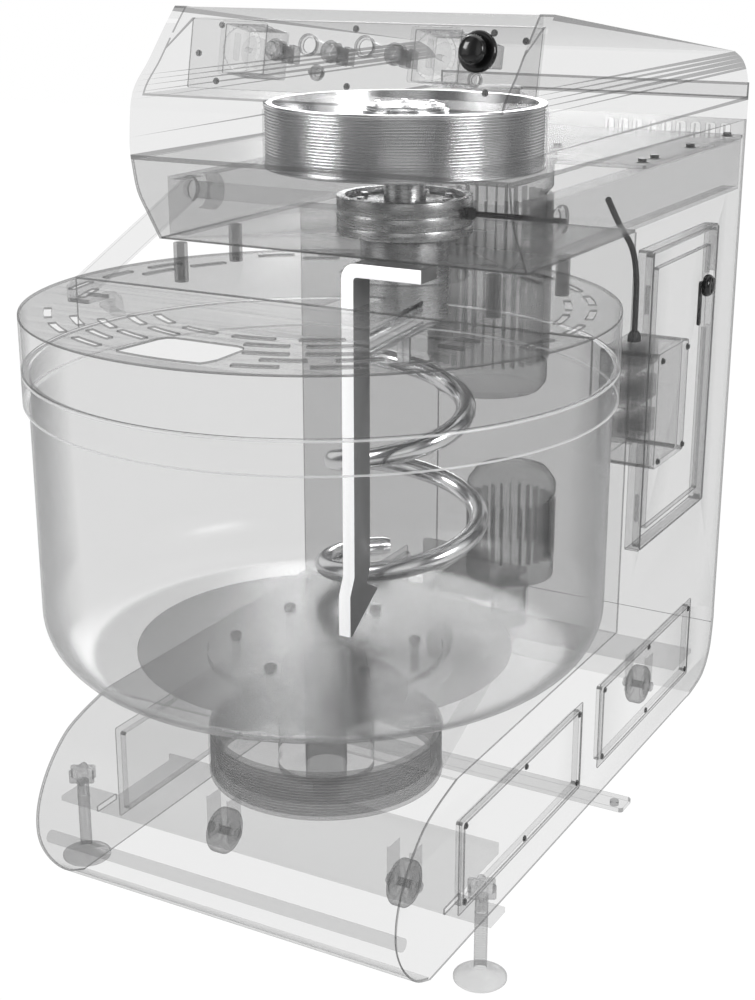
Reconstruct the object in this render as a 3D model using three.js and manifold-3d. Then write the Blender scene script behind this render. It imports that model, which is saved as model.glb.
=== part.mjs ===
// Spiral dough mixer: a C-shaped machine body on a nosed base, a turning bowl in front of the column,
// and a head that carries the spiral hook, its big ribbed pulley and the slanted control panel.
// Millimetres, +Z up, the front of the machine towards -Y, the origin under the middle of its box.

import * as THREE from 'three';
import * as BufferGeometryUtils from 'three/addons/utils/BufferGeometryUtils.js';
import Module from 'manifold-3d';

const wasm = await Module();
wasm.setup();

// ---------------------------------------------------------------- driving dimensions
const GAP = 0.3;                    // clearance between two pieces that touch on the real machine
const SHEET = 3;                    // body sheet

const BOWL_DIAMETER = 800;          // over the rim band, and over the guard
const BAND_STEP = 8;                // rim band stands proud of the wall
const BAND_HEIGHT = 46;
const BOWL_WALL = 3;
const BOWL_FLOOR = 3;
const BOWL_DEPTH = 413;
const BOWL_FILLET = 80;

const BODY_WIDTH = 573;
const COLUMN_DEPTH = 494;
const COLUMN_GAP = 12;              // bowl to column
const NOSE_SETBACK = 85;            // the bowl overhangs the nose by this

const GROUND_GAP = 20;              // floor to the lower edge of the body
const BASE_HEIGHT = 260;
const BOWL_LIFT = 82;               // base deck to the bowl's underside
const GUARD_LIFT = 2;
const GUARD_HEIGHT = 75;
const GUARD_SHEET = 3;
const THROAT_GAP = 56;              // guard to head
const HEAD_HEIGHT = 316;
const SEAM_HEIGHT = 117;            // head cover's lower edge above the head's underside
const ROOF_DROP = 84;               // the roof falls this much towards the rear

const ROD = 30;                     // spiral's bar
const COIL_START_RADIUS = 80;
const COIL_END_RADIUS = 126;
const COIL_TUCK = 20;               // the tip turns in by this, to follow the bowl's corner
const COIL_TURNS = 2.14;
const COIL_SIDE_CLEARANCE = 14;
const COIL_FLOOR_CLEARANCE = 6;
const ARM_RADIUS = 19;
const BOSS_RADIUS = 64;
const BOSS_LENGTH = 115;
const SHAFT_RADIUS = 30;

const PULLEY_RADIUS = 200;          // over the rims
const PULLEY_WIDTH = 89;
const PULLEY_LIFT = 98;             // head's underside to the pulley
const RIB_DEPTH = 4;
const MOTOR_PULLEY_RADIUS = 45;
const BELT_THICKNESS = 4;

const BOWL_PULLEY_RADIUS = 170;
const BOWL_PULLEY_WIDTH = 70;
const BOWL_PULLEY_Z = 165;
const BOWL_MOTOR_PULLEY_RADIUS = 34;
const BOWL_SHAFT_RADIUS = 30;

const BAR_THICKNESS = 19;           // breaker bar
const BAR_WIDTH = 45;
const BAR_FLOOR_CLEARANCE = 8;
const BAR_COIL_GAP = 13;

const PANEL_TILT = 12;              // degrees from upright
const WHEEL_RADIUS = 34.5;
const WHEEL_WIDTH = 28;
const FOOT_TRAVEL = 20;

// ---------------------------------------------------------------- places worked out from them
const HALF = BODY_WIDTH / 2;
const INNER = HALF - SHEET - GAP;   // what fits between the side plates reaches this far
const BOWL_RADIUS = BOWL_DIAMETER / 2;
const WALL_RADIUS = BOWL_RADIUS - BAND_STEP;
const LENGTH = BOWL_DIAMETER + COLUMN_GAP + COLUMN_DEPTH;
const REAR = LENGTH / 2;
const NOSE = -REAR + NOSE_SETBACK;
const BOWL_Y = -REAR + BOWL_RADIUS;
const COLUMN_Y = BOWL_Y + BOWL_RADIUS + COLUMN_GAP;

const BASE_TOP = GROUND_GAP + BASE_HEIGHT;
const BOWL_BOTTOM = BASE_TOP + BOWL_LIFT;
const FLOOR_Z = BOWL_BOTTOM + BOWL_FLOOR;
const RIM = BOWL_BOTTOM + BOWL_DEPTH;
const GUARD_Z = RIM + GUARD_LIFT;
const GUARD_TOP = GUARD_Z + GUARD_HEIGHT;
const HEAD_Z = GUARD_TOP + THROAT_GAP;
const TOP = HEAD_Z + HEAD_HEIGHT;
const SEAM = HEAD_Z + SEAM_HEIGHT;

const SPIRAL_OFFSET = WALL_RADIUS - BOWL_WALL - COIL_SIDE_CLEARANCE - ROD / 2 - COIL_END_RADIUS;
const SPIRAL_Y = BOWL_Y + SPIRAL_OFFSET;
const PULLEY_Z = HEAD_Z + PULLEY_LIFT;
const BAR_REACH = 80;               // breaker bar's face to the tip of its plough
const BAR_FACE = SPIRAL_Y - COIL_END_RADIUS - ROD / 2 - BAR_COIL_GAP - BAR_REACH;
const HEAD_FRONT = Math.min(SPIRAL_Y - PULLEY_RADIUS - 62, BAR_FACE - 28);
const DECK_Z = PULLEY_Z - 6;        // top of the motor deck
const DECK_SHEET = 6;
const MOTOR_RADIUS = 100;
const MOTOR_Y = COLUMN_Y + SHEET + MOTOR_RADIUS + 8;
const BOWL_MOTOR_RADIUS = 78;
const BOWL_MOTOR_Y = COLUMN_Y + 216;

// ---------------------------------------------------------------- shape helpers
const group = new THREE.Group();

function solid(geometry) {
  const bare = geometry.clone();
  bare.deleteAttribute('normal');
  bare.deleteAttribute('uv');
  const merged = BufferGeometryUtils.mergeVertices(bare, 1e-4);
  const mesh = new wasm.Mesh({
    numProp: 3,
    vertProperties: new Float32Array(merged.attributes.position.array),
    triVerts: new Uint32Array(merged.index.array),
  });
  return new wasm.Manifold(mesh);
}

function geometryOf(body) {
  const mesh = body.getMesh();
  const geometry = new THREE.BufferGeometry();
  geometry.setAttribute('position', new THREE.BufferAttribute(new Float32Array(mesh.vertProperties), 3));
  geometry.setIndex(new THREE.BufferAttribute(new Uint32Array(mesh.triVerts), 1));
  return geometry;
}

function add(name, body, finish, parent = group) {
  const material = new THREE.MeshStandardMaterial(finish);
  const mesh = new THREE.Mesh(geometryOf(body), material);
  mesh.name = name;
  parent.add(mesh);
  return mesh;
}

function box(x0, x1, y0, y1, z0, z1) {
  const geometry = new THREE.BoxGeometry(x1 - x0, y1 - y0, z1 - z0);
  return solid(geometry.translate((x0 + x1) / 2, (y0 + y1) / 2, (z0 + z1) / 2));
}

// Upright round bar
function post(x, y, z0, z1, radius, sides = 16) {
  const geometry = new THREE.CylinderGeometry(radius, radius, z1 - z0, sides);
  return solid(geometry.rotateX(Math.PI / 2).translate(x, y, (z0 + z1) / 2));
}

// Round bar along X
function pin(x0, x1, y, z, radius, sides = 16) {
  const geometry = new THREE.CylinderGeometry(radius, radius, x1 - x0, sides);
  return solid(geometry.rotateZ(Math.PI / 2).translate((x0 + x1) / 2, y, z));
}

// Outline in (y, z), pulled along X
function pulledX(outline, x0, x1) {
  const shape = new THREE.Shape(outline.map(([y, z]) => new THREE.Vector2(y, z)));
  const geometry = new THREE.ExtrudeGeometry(shape, { depth: x1 - x0, bevelEnabled: false });
  const turn = new THREE.Matrix4().set(0, 0, 1, x0, 1, 0, 0, 0, 0, 1, 0, 0, 0, 0, 0, 1);
  return solid(geometry.applyMatrix4(turn));
}

// Outline in (x, z), pulled along Y
function pulledY(outline, y0, y1) {
  const shape = new THREE.Shape(outline.map(([x, z]) => new THREE.Vector2(x, z)));
  const geometry = new THREE.ExtrudeGeometry(shape, { depth: y1 - y0, bevelEnabled: false });
  const turn = new THREE.Matrix4().set(1, 0, 0, 0, 0, 0, -1, y1, 0, 1, 0, 0, 0, 0, 0, 1);
  return solid(geometry.applyMatrix4(turn));
}

// Profile in (radius, z), turned about an upright axis at (x, y); a ring's profile closes on itself
function turned(profile, x, y, sides = 32, ring = false) {
  const points = profile.map(([r, z]) => new THREE.Vector2(r, z));
  if (ring) points.push(points[0].clone());
  const geometry = new THREE.LatheGeometry(points, sides);
  return solid(geometry.rotateX(Math.PI / 2).translate(x, y, 0));
}

function ringOf(inner, outer, z0, z1, x, y, sides = 32) {
  return turned([[inner, z0], [outer, z0], [outer, z1], [inner, z1]], x, y, sides, true);
}

function union(...bodies) {
  return bodies.reduce((sum, body) => sum.add(body));
}

function cut(body, ...tools) {
  return tools.reduce((rest, tool) => rest.subtract(tool), body);
}

// Moves a run of outline points sideways by a distance, square to the run
function shifted(points, distance) {
  return points.map((point, i) => {
    const before = points[Math.max(i - 1, 0)];
    const after = points[Math.min(i + 1, points.length - 1)];
    const a = new THREE.Vector2(point[0] - before[0], point[1] - before[1]);
    const b = new THREE.Vector2(after[0] - point[0], after[1] - point[1]);
    if (a.length() === 0) a.copy(b);
    if (b.length() === 0) b.copy(a);
    a.normalize();
    b.normalize();
    const along = a.clone().add(b).normalize();
    const stretch = distance / Math.max(along.dot(a), 0.3);
    return [point[0] - along.y * stretch, point[1] + along.x * stretch];
  });
}

// Bent sheet that follows a run of points, its thickness to the left of the run
function bentSheet(points, thickness, x0, x1) {
  return pulledX([...points, ...shifted(points, thickness).reverse()], x0, x1);
}

function curve(points, steps) {
  const spline = new THREE.SplineCurve(points.map(([y, z]) => new THREE.Vector2(y, z)));
  return spline.getPoints(steps).map((p) => [p.x, p.y]);
}

// ---------------------------------------------------------------- finishes
const PAINT = { color: 0xd3d5d6, roughness: 0.4, metalness: 0.1, transparent: true, opacity: 0.4 };
const STEEL = { color: 0xc4c6c8, roughness: 0.25, metalness: 1 };
const CAST = { color: 0x8d9092, roughness: 0.5, metalness: 0.8 };
const BLACK = { color: 0x161616, roughness: 0.35, metalness: 0 };
const RUBBER = { color: 0x4a4c4e, roughness: 0.7, metalness: 0 };
const CLEAR = { color: 0xe4e6e7, roughness: 0.15, metalness: 0, transparent: true, opacity: 0.3 };

// ---------------------------------------------------------------- outlines of the body
// Nose of the base, from the deck over the front to the lower edge
const noseRun = curve([
  [NOSE + 168, BASE_TOP],
  [NOSE + 112, BASE_TOP - 14],
  [NOSE + 70, BASE_TOP - 32],
  [NOSE + 30, BASE_TOP - 70],
  [NOSE + 6, BASE_TOP - 115],
  [NOSE + 3, GROUND_GAP + 100],
  [NOSE + 21, GROUND_GAP + 58],
  [NOSE + 55, GROUND_GAP + 20],
  [NOSE + 95, GROUND_GAP],
], 20);

// Front of the head, from its underside up to the roof's front edge
const headFront = [
  [HEAD_FRONT + 60, HEAD_Z],
  [HEAD_FRONT + 35, HEAD_Z + 37],
  [HEAD_FRONT + 12, HEAD_Z + 74],
  [HEAD_FRONT + 2, SEAM],
];
const coverFront = curve([
  [HEAD_FRONT + 2, SEAM + GAP],
  [HEAD_FRONT + 1, SEAM + 30],
  [HEAD_FRONT + 12, TOP - 110],
  [HEAD_FRONT + 52, TOP - 69],
  [HEAD_FRONT + 90, TOP - 28],
  [HEAD_FRONT + 118, TOP],
], 12);
const roofRear = [
  [REAR - 88, TOP - ROOF_DROP],
  [REAR - 43, TOP - ROOF_DROP - 16],
  [REAR - 13, TOP - ROOF_DROP - 42],
  [REAR - 2, TOP - ROOF_DROP - 80],
  [REAR, SEAM + 60],
];
const rearFoot = [
  [REAR, GROUND_GAP + 100],
  [REAR - 12, GROUND_GAP + 46],
  [REAR - 46, GROUND_GAP + 12],
  [REAR - 105, GROUND_GAP],
];

// ---------------------------------------------------------------- side plates
const PIVOT = { y: HEAD_FRONT + 146, z: HEAD_Z + 59, radius: 12.5 };
const FOOT = { x: HALF + 42, y: NOSE + 159, z: 96, tongue: 22 };
const basePanels = [
  { name: 'base_panel_front_right', y0: NOSE + 194, y1: COLUMN_Y - 133 },
  { name: 'base_panel_rear_right', y0: COLUMN_Y - 43, y1: REAR - 137 },
];
const PANEL_Z0 = GROUND_GAP + 56;
const PANEL_Z1 = BASE_TOP - 79;
const DOOR = { y0: COLUMN_Y + 82, y1: REAR - 110, z0: BASE_TOP + 110, z1: HEAD_Z - 43 };
const EDGE = 1.5;                   // play around the door

const sideOutline = [
  ...noseRun,
  ...rearFoot.slice().reverse(),
  [REAR, SEAM],
  ...headFront.slice().reverse(),
  [COLUMN_Y, HEAD_Z],
  [COLUMN_Y, BASE_TOP],
];

function sidePlate(x0, x1) {
  const tongue = FOOT.tongue + GAP;
  const slot = box(x0 - 1, x1 + 1, FOOT.y - tongue, FOOT.y + tongue, FOOT.z - GAP, FOOT.z + 8 + GAP);
  const hole = pin(x0 - 1, x1 + 1, PIVOT.y, PIVOT.z, PIVOT.radius + GAP);
  return cut(pulledX(sideOutline, x0, x1), slot, hole);
}

const openings = basePanels.map((p) => box(HALF - 20, HALF + 20, p.y0, p.y1, PANEL_Z0, PANEL_Z1));
openings.push(box(HALF - 20, HALF + 20, DOOR.y0, DOOR.y1, DOOR.z0, DOOR.z1));
add('side_plate_left', sidePlate(-HALF, -HALF + SHEET), PAINT);
add('side_plate_right', cut(sidePlate(HALF - SHEET, HALF), ...openings), PAINT);

const LAP = 10;                     // panel edges behind the side plate
const PANEL_SHEET = 2;
for (const p of basePanels) {
  const plate = box(INNER - PANEL_SHEET, INNER, p.y0 - LAP, p.y1 + LAP, PANEL_Z0 - LAP, PANEL_Z1 + LAP);
  add(p.name, plate, PAINT);
}

// ---------------------------------------------------------------- base
const DECK_FRONT = NOSE + 168;
const noseTrim = box(-HALF, HALF, DECK_FRONT - GAP, DECK_FRONT + 20, BASE_TOP - 20, BASE_TOP + 20);
add('nose_cover', cut(bentSheet(noseRun, SHEET, -INNER, INNER), noseTrim), PAINT);

const HOUSING = { tube: 60, flange: 120 };
const housingHole = post(0, BOWL_Y, BASE_TOP - 10, BASE_TOP + 10, HOUSING.tube + GAP, 32);
const deck = box(-INNER, INNER, DECK_FRONT + GAP, COLUMN_Y - GAP, BASE_TOP - SHEET, BASE_TOP);
add('base_deck', cut(deck, housingHole), PAINT);

// Cross members: bent pans that carry the castor forks, and in front the levelling feet
const FORK_GAP = 2;
function forks(x, y, beamZ) {
  const inner = WHEEL_WIDTH / 2 + FORK_GAP;
  const plate = (side) => {
    const x0 = x + side * inner;
    return box(Math.min(x0, x0 + side * 4), Math.max(x0, x0 + side * 4), y - 16, y + 16, 24, beamZ + 1);
  };
  const axle = pin(x - inner - 5, x + inner + 5, y, WHEEL_RADIUS + 0.5, 6, 10);
  return union(plate(-1), plate(1), axle);
}

const BEAM_SHEET = 8;
const frontWheels = { x: 154, y: NOSE + 271 };
const rearWheels = { x: HALF - 86, y: REAR - 105 - WHEEL_RADIUS - 8 };
const BEAM_X = INNER - PANEL_SHEET - GAP;
const frontPan = union(
  box(-BEAM_X, BEAM_X, FOOT.y - FOOT.tongue, frontWheels.y + 42, FOOT.z, FOOT.z + BEAM_SHEET),
  box(-BEAM_X, BEAM_X, frontWheels.y + 38, frontWheels.y + 42, FOOT.z, FOOT.z + 18),
  box(-FOOT.x - 24, FOOT.x + 24, FOOT.y - FOOT.tongue, FOOT.y + FOOT.tongue, FOOT.z, FOOT.z + BEAM_SHEET),
  forks(-frontWheels.x, frontWheels.y, FOOT.z),
  forks(frontWheels.x, frontWheels.y, FOOT.z),
);
const FOOT_SCREW = 9;
const screwHole = (side) => post(side * FOOT.x, FOOT.y, FOOT.z - 5, FOOT.z + 15, FOOT_SCREW + GAP, 20);
add('front_cross_member', cut(frontPan, screwHole(-1), screwHole(1)), PAINT);

add('rear_cross_member', union(
  box(-BEAM_X, BEAM_X, rearWheels.y - 45, rearWheels.y + 45, FOOT.z, FOOT.z + BEAM_SHEET),
  forks(-rearWheels.x, rearWheels.y, FOOT.z),
  forks(rearWheels.x, rearWheels.y, FOOT.z),
), PAINT);

const TAB = { x: HALF + 26, y: COLUMN_Y - 48, half: 21, z0: 8, z1: 16 };
const tabPlate = box(-TAB.x - 21, TAB.x + 21, TAB.y - TAB.half, TAB.y + TAB.half, TAB.z0, TAB.z1);
const tabHole = (side) => post(side * TAB.x, TAB.y, 0, 30, 7);
add('anchor_plate', cut(tabPlate, tabHole(-1), tabHole(1)), PAINT);

add('nose_tie_bar', pin(-INNER, INNER, NOSE + 28, GROUND_GAP + 90, 9), CLEAR);

const wheelAt = {
  caster_wheel_front_left: [-frontWheels.x, frontWheels.y],
  caster_wheel_front_right: [frontWheels.x, frontWheels.y],
  caster_wheel_rear_left: [-rearWheels.x, rearWheels.y],
  caster_wheel_rear_right: [rearWheels.x, rearWheels.y],
};
const treadProfile = [[6 + GAP, 0], [WHEEL_RADIUS - 5, 0], [WHEEL_RADIUS, 5],
  [WHEEL_RADIUS, WHEEL_WIDTH - 5], [WHEEL_RADIUS - 5, WHEEL_WIDTH], [6 + GAP, WHEEL_WIDTH]];
for (const [name, [x, y]] of Object.entries(wheelAt)) {
  const wheel = turned(treadProfile, 0, 0, 24, true);
  const mesh = add(name, wheel, RUBBER);
  mesh.rotation.y = Math.PI / 2;
  mesh.position.set(x - WHEEL_WIDTH / 2, y, WHEEL_RADIUS + 0.5);
}

for (const [name, side] of [['levelling_foot_left', -1], ['levelling_foot_right', 1]]) {
  const knob = FOOT.z + BEAM_SHEET + FOOT_TRAVEL + 2;
  const profile = [[0, 0], [36, 0], [36, 5], [FOOT_SCREW, 14], [FOOT_SCREW, knob],
    [21, knob], [21, knob + 20], [0, knob + 20]];
  add(name, turned(profile, side * FOOT.x, FOOT.y, 20), STEEL);
}

// ---------------------------------------------------------------- column
const columnFront = box(-INNER, INNER, COLUMN_Y, COLUMN_Y + SHEET, BASE_TOP - SHEET, HEAD_Z - GAP);
add('column_front_plate', columnFront, PAINT);

const rearRun = [...rearFoot.slice().reverse(), [REAR, SEAM]];
const LOUVRES = 9;
const louvres = [];
for (let i = 0; i < LOUVRES; i += 1) {
  const x = INNER - 249.2 + i * 26;
  louvres.push(box(x, x + 18, REAR - 20, REAR + 20, SEAM - 42, SEAM - 8));
}
add('rear_cover', cut(bentSheet(rearRun, SHEET, -INNER, INNER), ...louvres), PAINT);

const LATCH = { y: DOOR.y1 - 57, z: DOOR.z1 - 91, shank: 6 };
const doorPlate = box(HALF - SHEET, HALF, DOOR.y0 + EDGE, DOOR.y1 - EDGE, DOOR.z0 + EDGE, DOOR.z1 - EDGE);
const latchHole = pin(HALF - 10, HALF + 10, LATCH.y, LATCH.z, LATCH.shank + GAP);
add('column_door', cut(doorPlate, latchHole), PAINT);
add('door_latch', union(
  pin(HALF + GAP, HALF + 12, LATCH.y, LATCH.z, 18, 20),
  pin(HALF - 9, HALF + 1, LATCH.y, LATCH.z, LATCH.shank),
  box(HALF - 9, HALF - SHEET - 2, LATCH.y - 6, LATCH.y + 6, LATCH.z - 68, LATCH.z + 6),
), BLACK);

const BOX = {
  x0: HALF - 112, x1: HALF - 12,
  y0: COLUMN_Y + 161, y1: COLUMN_Y + 301,
  z0: BASE_TOP + 220, z1: BASE_TOP + 410,
};
add('electrical_box', box(BOX.x0, BOX.x1, BOX.y0, BOX.y1, BOX.z0, BOX.z1), PAINT);

// ---------------------------------------------------------------- head structure
const panRun = [...headFront.slice(0, 3), [HEAD_FRONT + 2, SEAM - GAP]].reverse();
panRun.push([COLUMN_Y + SHEET, HEAD_Z]);
const PAN_HOLE = 40;
const pan = bentSheet(panRun, SHEET, -INNER, INNER);
const panTrim = box(-HALF, HALF, HEAD_FRONT - 20, HEAD_FRONT + 40, SEAM - GAP, SEAM + 20);
add('head_pan', cut(pan, post(0, SPIRAL_Y, HEAD_Z - 10, HEAD_Z + 10, PAN_HOLE, 24), panTrim), PAINT);

// Side channels, open towards the middle, with a bearing hub for the guard's pivot shaft
const CHANNEL = { z0: HEAD_Z + SHEET + GAP, z1: DECK_Z - DECK_SHEET - GAP, depth: 28, wall: 4 };
const channelY0 = HEAD_FRONT + 80;
const channelY1 = REAR - SHEET - 10;
for (const [name, side] of [['head_channel_left', -1], ['head_channel_right', 1]]) {
  const c = CHANNEL;
  const outline = [[INNER, c.z0], [INNER, c.z1], [INNER - c.depth, c.z1], [INNER - c.depth, c.z1 - c.wall],
    [INNER - c.wall, c.z1 - c.wall], [INNER - c.wall, c.z0 + c.wall], [INNER - c.depth, c.z0 + c.wall],
    [INNER - c.depth, c.z0]];
  const mirrored = side > 0 ? outline : outline.map(([x, z]) => [-x, z]).reverse();
  const hubX = [side * (INNER - 34), side * (INNER - 1)].sort((a, b) => a - b);
  const boreX = [side * (INNER - 60), side * (INNER + 10)].sort((a, b) => a - b);
  const hub = pin(hubX[0], hubX[1], PIVOT.y, PIVOT.z, 27);
  const bore = pin(boreX[0], boreX[1], PIVOT.y, PIVOT.z, PIVOT.radius + GAP);
  add(name, cut(union(pulledY(mirrored, channelY0, channelY1), hub), bore), PAINT);
}

const deckY0 = SPIRAL_Y + PULLEY_RADIUS + 9;
const deckPlate = box(-INNER, INNER, deckY0, REAR - SHEET - GAP, DECK_Z - DECK_SHEET, DECK_Z);
add('motor_deck', cut(deckPlate, post(0, MOTOR_Y, DECK_Z - 20, DECK_Z + 20, 26)), PAINT);

// ---------------------------------------------------------------- head cover and its recess
const tilt = THREE.MathUtils.degToRad(PANEL_TILT);
const RECESS = { x: INNER - 17, floor: PULLEY_Z + PULLEY_WIDTH + 19, front: HEAD_FRONT + 110 };
const RECESS_HEIGHT = TOP - 16 - RECESS.floor;
const recessTopY = RECESS.front + RECESS_HEIGHT * Math.tan(tilt);
const coverOutline = [...coverFront, ...roofRear, [REAR, SEAM + GAP]];
const coverInner = [
  ...shifted([...coverFront, ...roofRear], -SHEET),
  [REAR - SHEET, SEAM - 5],
];
coverInner[0] = [coverInner[0][0], SEAM - 5];

// Space in front of the control panel, with the seat that the panel's plate fills, and the skin round it
const recessRise = [recessTopY - RECESS.front, RECESS_HEIGHT];
const SEAT_DEPTH = 9;
const recessSpace = pulledX([
  [HEAD_FRONT - 40, RECESS.floor],
  [RECESS.front + SEAT_DEPTH, RECESS.floor],
  [recessTopY + SEAT_DEPTH, RECESS.floor + RECESS_HEIGHT],
  [recessTopY, RECESS.floor + RECESS_HEIGHT],
  [recessTopY, TOP + 20],
  [HEAD_FRONT - 40, TOP + 20],
], -RECESS.x, RECESS.x);
const skinFoot = RECESS.front + SEAT_DEPTH - 1 - (SHEET * recessRise[0]) / recessRise[1];
const recessSkin = pulledX([
  [HEAD_FRONT - 40, RECESS.floor - SHEET],
  [skinFoot, RECESS.floor - SHEET],
  [recessTopY + SEAT_DEPTH - 1, RECESS.floor + RECESS_HEIGHT],
  [recessTopY + SEAT_DEPTH - 1, TOP - 1],
  [HEAD_FRONT - 40, TOP - 1],
], -RECESS.x - SHEET, RECESS.x + SHEET);
const coverBlock = pulledX(coverOutline.slice().reverse(), -HALF, HALF);
const coverCore = pulledX(coverInner.slice().reverse(), -HALF + SHEET, HALF - SHEET);
const coverShell = union(cut(coverBlock, coverCore), coverBlock.intersect(recessSkin));
add('head_cover', cut(coverShell, recessSpace), PAINT);

// ---------------------------------------------------------------- control panel
// Its own frame: x across, y up the panel, z out of its face
const panel = new THREE.Group();
const panelHeight = RECESS_HEIGHT / Math.cos(tilt);
panel.position.set(0, (RECESS.front + recessTopY) / 2, RECESS.floor + RECESS_HEIGHT / 2);
panel.rotation.x = Math.PI / 2 - tilt;
group.add(panel);

const TIMER = { face: 72, body: 66, deep: 60, rim: 8, dial: 27 };
const timers = [{ side: 'left', x: -176 }, { side: 'right', x: 120 }];
const buttons = [{ x: -124 }, { x: -37 }, { x: 60 }];
const DEVICE_Y = 8;
const BUTTON_RADIUS = 10;
const BUTTON_TRAVEL = 4;
const lamps = [{ x: -72 }, { x: 15 }];
const LAMP_Y = 16;
const LAMP = { ring: 15, body: 10 };
const STOP = { x: 180, y: 15, head: 20, stem: 8, travel: 5 };
const SELECTOR = { x: -55, y: -20, knob: 11, stem: 5 };

const PLATE = { x: RECESS.x - GAP, y: panelHeight / 2 - 1, back: -SHEET };
const through = (x, y, radius) => post(x, y, -20, 20, radius + GAP, 14);
const timerHole = (t) => {
  const half = TIMER.body / 2 + GAP;
  return box(t.x - half, t.x + half, DEVICE_Y - half, DEVICE_Y + half, -20, 20);
};
const panelPlate = cut(
  box(-PLATE.x, PLATE.x, -PLATE.y, PLATE.y, PLATE.back, 0),
  ...timers.map(timerHole),
  ...buttons.map((b) => through(b.x, DEVICE_Y, BUTTON_RADIUS)),
  ...lamps.map((l) => through(l.x, LAMP_Y, LAMP.body)),
  through(STOP.x, STOP.y, STOP.stem),
  through(SELECTOR.x, SELECTOR.y, SELECTOR.stem),
);
add('control_panel', panelPlate, PAINT, panel);

for (const t of timers) {
  const face = TIMER.face / 2;
  const half = TIMER.body / 2;
  const body = union(
    box(t.x - face, t.x + face, DEVICE_Y - face, DEVICE_Y + face, GAP, TIMER.rim),
    box(t.x - half, t.x + half, DEVICE_Y - half, DEVICE_Y + half, -TIMER.deep, GAP + 1),
  );
  add(`timer_${t.side}`, body, CLEAR, panel);
  const dial = turned([[0, TIMER.rim + GAP], [TIMER.dial, TIMER.rim + GAP], [TIMER.dial, TIMER.rim + 7],
    [0, TIMER.rim + 7]], t.x, DEVICE_Y, 24);
  const grip = box(t.x - 3, t.x + 3, DEVICE_Y - 18, DEVICE_Y + 18, TIMER.rim + 5, TIMER.rim + 14);
  add(`timer_dial_${t.side}`, union(dial, grip), CLEAR, panel);
}
buttons.forEach((b, i) => {
  const profile = [[0, -10], [BUTTON_RADIUS, -10], [BUTTON_RADIUS, 14], [0, 14]];
  add(`push_button_${i + 1}`, turned(profile, b.x, DEVICE_Y, 14), STEEL, panel);
});
lamps.forEach((l, i) => {
  const profile = [[0, -30], [LAMP.body, -30], [LAMP.body, GAP], [LAMP.ring, GAP], [LAMP.ring, 5],
    [0, 10]];
  add(`pilot_lamp_${i + 1}`, turned(profile, l.x, LAMP_Y, 14), CLEAR, panel);
});
add('emergency_stop', turned([[0, -10], [STOP.stem, -10], [STOP.stem, 12], [STOP.head, 12],
  [STOP.head, 21], [0, 28]], STOP.x, STOP.y, 14), BLACK, panel);
add('mode_selector', union(
  turned([[0, -10], [SELECTOR.stem, -10], [SELECTOR.stem, GAP], [SELECTOR.knob, GAP],
    [SELECTOR.knob, 5], [0, 5]], SELECTOR.x, SELECTOR.y, 14),
  box(SELECTOR.x - 9, SELECTOR.x + 9, SELECTOR.y - 2.5, SELECTOR.y + 2.5, 4, 12),
), STEEL, panel);

// ---------------------------------------------------------------- spiral drive
const housingZ = HEAD_Z + SHEET + GAP;
const HOUSING_RADIUS = 98;
const bore = SHAFT_RADIUS + GAP;
add('spiral_bearing_housing', turned([[bore, housingZ], [HOUSING_RADIUS, housingZ],
  [HOUSING_RADIUS, housingZ + 14], [bore, housingZ + 14]], 0, SPIRAL_Y, 32, true), STEEL);
const coverZ = housingZ + 14 + GAP;
add('spiral_bearing_cover', turned([[bore, coverZ], [HOUSING_RADIUS, coverZ],
  [HOUSING_RADIUS, coverZ + 40], [HOUSING_RADIUS - 12, coverZ + 40], [HOUSING_RADIUS - 12, coverZ + 32],
  [bore, coverZ + 32]], 0, SPIRAL_Y, 32, true), STEEL);
const pipeX = HOUSING_RADIUS + GAP;
add('grease_pipe', union(
  pin(pipeX, pipeX + 15, SPIRAL_Y, coverZ + 20, 9, 16),
  pin(pipeX + 14, INNER - CHANNEL.depth - 5, SPIRAL_Y, coverZ + 20, 4, 12),
), BLACK);

const HUB_RADIUS = 62;
const RIM_WALL = 12;
const WEB = { z0: PULLEY_Z + 30, z1: PULLEY_Z + 40 };
const groove = PULLEY_RADIUS - RIB_DEPTH;
const pulleyTop = PULLEY_Z + PULLEY_WIDTH;
add('spiral_pulley', turned([
  [bore, PULLEY_Z - 3], [HUB_RADIUS, PULLEY_Z - 3], [HUB_RADIUS, WEB.z0], [PULLEY_RADIUS - RIM_WALL, WEB.z0],
  [PULLEY_RADIUS - RIM_WALL, PULLEY_Z], [PULLEY_RADIUS, PULLEY_Z], [PULLEY_RADIUS, PULLEY_Z + 4],
  [groove, PULLEY_Z + 4], [groove, pulleyTop - 4], [PULLEY_RADIUS, pulleyTop - 4], [PULLEY_RADIUS, pulleyTop],
  [PULLEY_RADIUS - RIM_WALL, pulleyTop], [PULLEY_RADIUS - RIM_WALL, WEB.z1], [HUB_RADIUS, WEB.z1],
  [HUB_RADIUS, pulleyTop - 10], [bore, pulleyTop - 10],
], 0, SPIRAL_Y, 48, true), STEEL);

const beltZ0 = PULLEY_Z + 8;
const beltZ1 = pulleyTop - 8;

// Flat loop round two pulleys on the line y = y1 (big) to y = y2 (small), both at x = 0
function beltLoop(y1, r1, y2, r2, steps) {
  const lean = Math.asin((r1 - r2) / (y2 - y1));
  const points = [];
  const wrap = (y, radius, from, sweep) => {
    const outside = radius / Math.cos(sweep / steps / 2);   // the flats then stay off the pulley
    for (let i = 0; i <= steps; i += 1) {
      const angle = from + (sweep * i) / steps;
      points.push([outside * Math.cos(angle), y + outside * Math.sin(angle)]);
    }
  };
  wrap(y2, r2, lean, Math.PI - 2 * lean);
  wrap(y1, r1, Math.PI - lean, Math.PI + 2 * lean);
  return points;
}

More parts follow.
